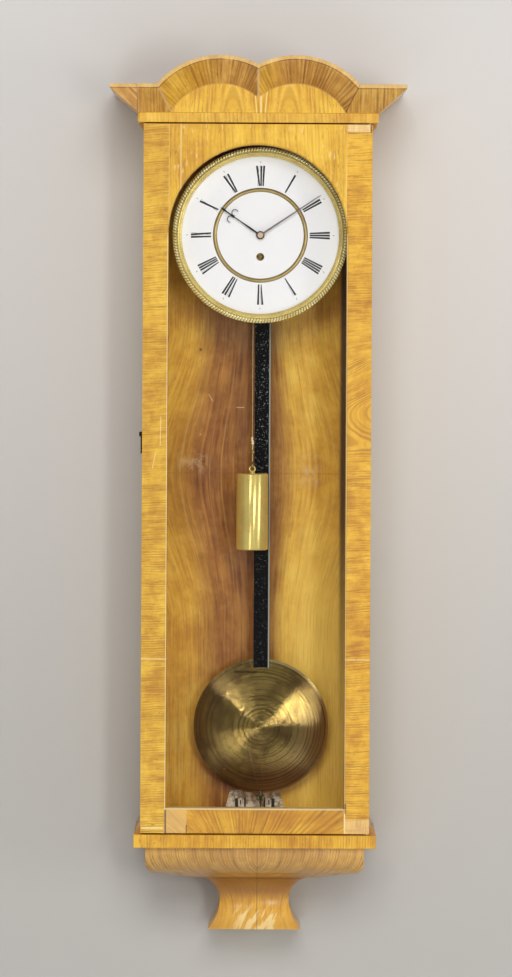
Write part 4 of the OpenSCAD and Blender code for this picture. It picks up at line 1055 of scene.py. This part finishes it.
def make_numerals(black, grey):
    """Roman numerals with their feet towards the centre, as thick and hair strokes, and the hour dots."""
    foot_r = 54.6
    head_r = 77
    hair = 0.3
    widths = {"I": 3.15, "V": 4.5, "X": 4.5}
    # Rise and shift of a stroke's foot, lean of its foot and head in widths, and the taper of a thick one
    strokes = {
        "I": [(0, 0, 0, 0, 0.72)],
        "V": [(0, 0, 0, -0.22, 0.4), (0.4, 0.3, 0, 0.34, 0)],
        "X": [(0, 0, 0.22, -0.24, 0.8), (0, 0, -0.26, 0.3, 0)]}
    bm = bmesh.new()
    for hour, text in enumerate(("XII", "I", "II", "III", "IIII", "V", "VI", "VII", "VIII", "IX", "X", "XI")):
        angle = math.radians(30 * hour)
        crowded = len(text) == 4
        squeeze = 0.92 if crowded else 1
        thick = 2.1 if crowded else 2.25
        place = -sum(widths[c] for c in text) * squeeze / 2
        for letter in text:
            width = widths[letter] * squeeze
            centre = place + width / 2
            place += width
            inner = centre * foot_r / head_r
            for rise, shift, foot_lean, head_lean, taper in strokes[letter]:
                ends = (thick * taper, thick) if taper else (hair, hair)
                stroke(bm, angle, foot_r + rise, head_r, inner + shift + width * foot_lean,
                       centre + width * head_lean, *ends)
    new_piece("hour_numerals", mesh_of(bm, "numerals"), "case", black)
    bm = bmesh.new()
    for hour in range(12):
        stroke(bm, math.radians(30 * hour), 80.2, 82, 0, 0, 0.5, 0.8)
    new_piece("hour_dots", mesh_of(bm, "dots"), "case", grey)


def make_gut_cord():
    """Two-stranded gut between the barrel and the weight's hook."""
    x, y, bottom, top = upright("gut_line")
    strand_r = 0.6
    lobe = 0.22
    twist_pitch = 5
    step = 1.25
    sides = 10
    count = int((top - bottom) / step)
    rings = []
    for level in range(count + 1):
        z = bottom + (top - bottom) * level / count
        twist = 2 * math.pi * (z - bottom) / twist_pitch
        rings.append(level_ring(x, y, z, sides, strand_r * (1 - lobe), strand_r * lobe, 2, twist))
    cord = new_piece("gut_cord", loft(rings), None, gut())
    smooth(cord, 60)
    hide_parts("gut_line")
    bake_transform(cord)


def make_knot():
    """Knot of three wraps, where the gut is tied to the weight's hook."""
    x, y = upright("gut_line")[:2]
    bottom = high("weight_hook", "z") - 1
    tall = 9
    levels = 36
    sides = 16
    wraps = 3
    rings = []
    for level in range(levels + 1):
        share = level / levels
        wrap = abs(math.sin(math.pi * wraps * share))
        taper = 1 - 0.45 * share
        radius = 0.35 + (0.7 + 0.75 * wrap) * taper
        lean = 0.35 * math.sin(2 * math.pi * share)
        rings.append(level_ring(x + lean, y, bottom + tall * share, sides, radius))
    pale = metal("knot_gut", (246, 232, 186), (176, 146, 96), 0.5, pure=0)
    smooth(new_piece("gut_knot", loft(rings), "weight", pale), 60)


def bar_into(bm, x0, x1, z0, z1):
    """A thin upright bar of paint on the beat scale, between two corners in millimetres."""
    front = low("beat_scale", "y")
    proud = 0.12
    points = [(x, y, z) for x in (x0, x1) for y in (front - proud, front + proud) for z in (z0, z1)]
    v = [bm.verts.new(Vector(p) * MM) for p in points]
    for face in ((0, 1, 3, 2), (4, 6, 7, 5), (0, 4, 5, 1), (2, 3, 7, 6), (0, 2, 6, 4), (1, 5, 7, 3)):
        bm.faces.new([v[i] for i in face])


def make_scale_marks(black):
    """A finely divided line along the foot of the beat scale, and thick bars above it."""
    x = middle("beat_scale", "x")
    foot_line = low("beat_scale", "z") + 3.5
    reach = 29
    ticks = 24
    bm = bmesh.new()
    for index in range(ticks + 1):
        across = x - reach + 2 * reach * index / ticks
        tall = 3.2 if index % 4 else 4.6
        bar_into(bm, across - 0.55, across + 0.55, foot_line, foot_line + tall)
    for side in (-1, 1):
        for offset, wide, lift, tall in ((11, 1.8, 7, 12), (20.5, 3.4, 8, 10), (16, 1.2, 11, 5)):
            centre = x + side * offset
            bottom = foot_line + lift
            bar_into(bm, centre - wide / 2, centre + wide / 2, bottom, bottom + tall)
    bar_into(bm, x - reach, x + reach, foot_line, foot_line + 0.7)
    new_piece("beat_scale_marks", mesh_of(bm, "scale_marks"), "case", black)


def make_rating_nut(brass):
    """Rating nut with a knurled edge."""
    x, y, bottom, top = upright("rating_nut")
    outer = half("rating_nut")
    knurls = 36
    deep = 0.35
    levels = [(bottom, 0.72, 0), (bottom + 0.8, 1, 1), (top - 2.6, 1, 1), (top - 2, 0.8, 0), (top, 0.66, 0)]
    rings = []
    for z, share, cut in levels:
        wave = cut * deep / 2
        rings.append(level_ring(x, y, z, knurls * 4, outer * share - wave, wave, knurls))
    nut = new_piece("knurled_nut", loft(rings), "nut", brass)
    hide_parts("rating_nut")


# Floor and wall
def stage_plane(name, corners, low_colour, high_colour):
    """A plain surface round the object that is seen only from its front, from quads of corners."""
    mesh = bpy.data.meshes.new(name)
    quads = [(i, i + 1, i + 2, i + 3) for i in range(0, len(corners), 4)]
    mesh.from_pydata(corners, [], quads)
    plane = bpy.data.objects.new(name, mesh)
    scene.collection.objects.link(plane)
    g = Graph(name)
    # Darker towards the bottom where the two colours differ; on the wall this is painted shade.
    body = g.mix(g.fade(g.z, -0.95, 0.15), low_colour, high_colour)
    paint = g.node("ShaderNodeBsdfDiffuse", {"Color": body})
    clear = g.node("ShaderNodeBsdfTransparent", {})
    facing = g.node("ShaderNodeNewGeometry", {})
    sides = {0: facing.outputs["Backfacing"], 1: paint.outputs[0], 2: clear.outputs[0]}
    both = g.node("ShaderNodeMixShader", sides)
    g.node("ShaderNodeOutputMaterial", {0: both.outputs[0]})
    mesh.materials.append(g.material)


def wall_quads(wall_y, floor_z, reach):
    """The wall's quads. Where the case covers it the wall is open, so that light reaches the back."""
    body_half = 0.108
    neck_half = 0.034
    levels = [floor_z, (foot + 6) * MM, (foot + 72) * MM, (pediment_z - 6) * MM, reach]
    openings = [0, neck_half, body_half, 0]
    quads = []
    for z0, z1, opening in zip(levels, levels[1:], openings):
        for x0, x1 in ((-reach, -opening), (opening, reach)):
            quads += [(x0, wall_y, z0), (x1, wall_y, z0), (x1, wall_y, z1), (x0, wall_y, z1)]
    return quads


def make_stage():
    """Grey wall right behind the clock, and a pale floor well below it."""
    wall_y = 0.002
    floor_z = -1.9
    reach = 4
    wall = wall_quads(wall_y, floor_z, reach)
    ground = [(reach * x, reach * y, floor_z) for x, y in ((-1, -1), (1, -1), (1, 1), (-1, 1))]
    pale = rgb(225, 224, 222)
    # The wall is painted darker towards the bottom, as painted shade.
    stage_plane("wall", wall, rgb(186, 184, 181), rgb(214, 211, 209))
    stage_plane("floor", ground, pale, pale)


make_camera()
light_scene()
dress_case()
dress_metals()
make_bezel(metal("bezel_brass", (246, 226, 148), (206, 178, 104), 0.2, pure=0.5))
make_numerals(ink("numeral_black", rgb(14, 15, 17)), ink("dot_grey", rgb(120, 122, 126)))
make_gut_cord()
make_knot()
make_scale_marks(ink("scale_black", rgb(40, 34, 26)))
make_rating_nut(metal("nut_brass", (150, 146, 118), (96, 90, 66), 0.4))
make_stage()

scene.view_settings.view_transform = "Standard"
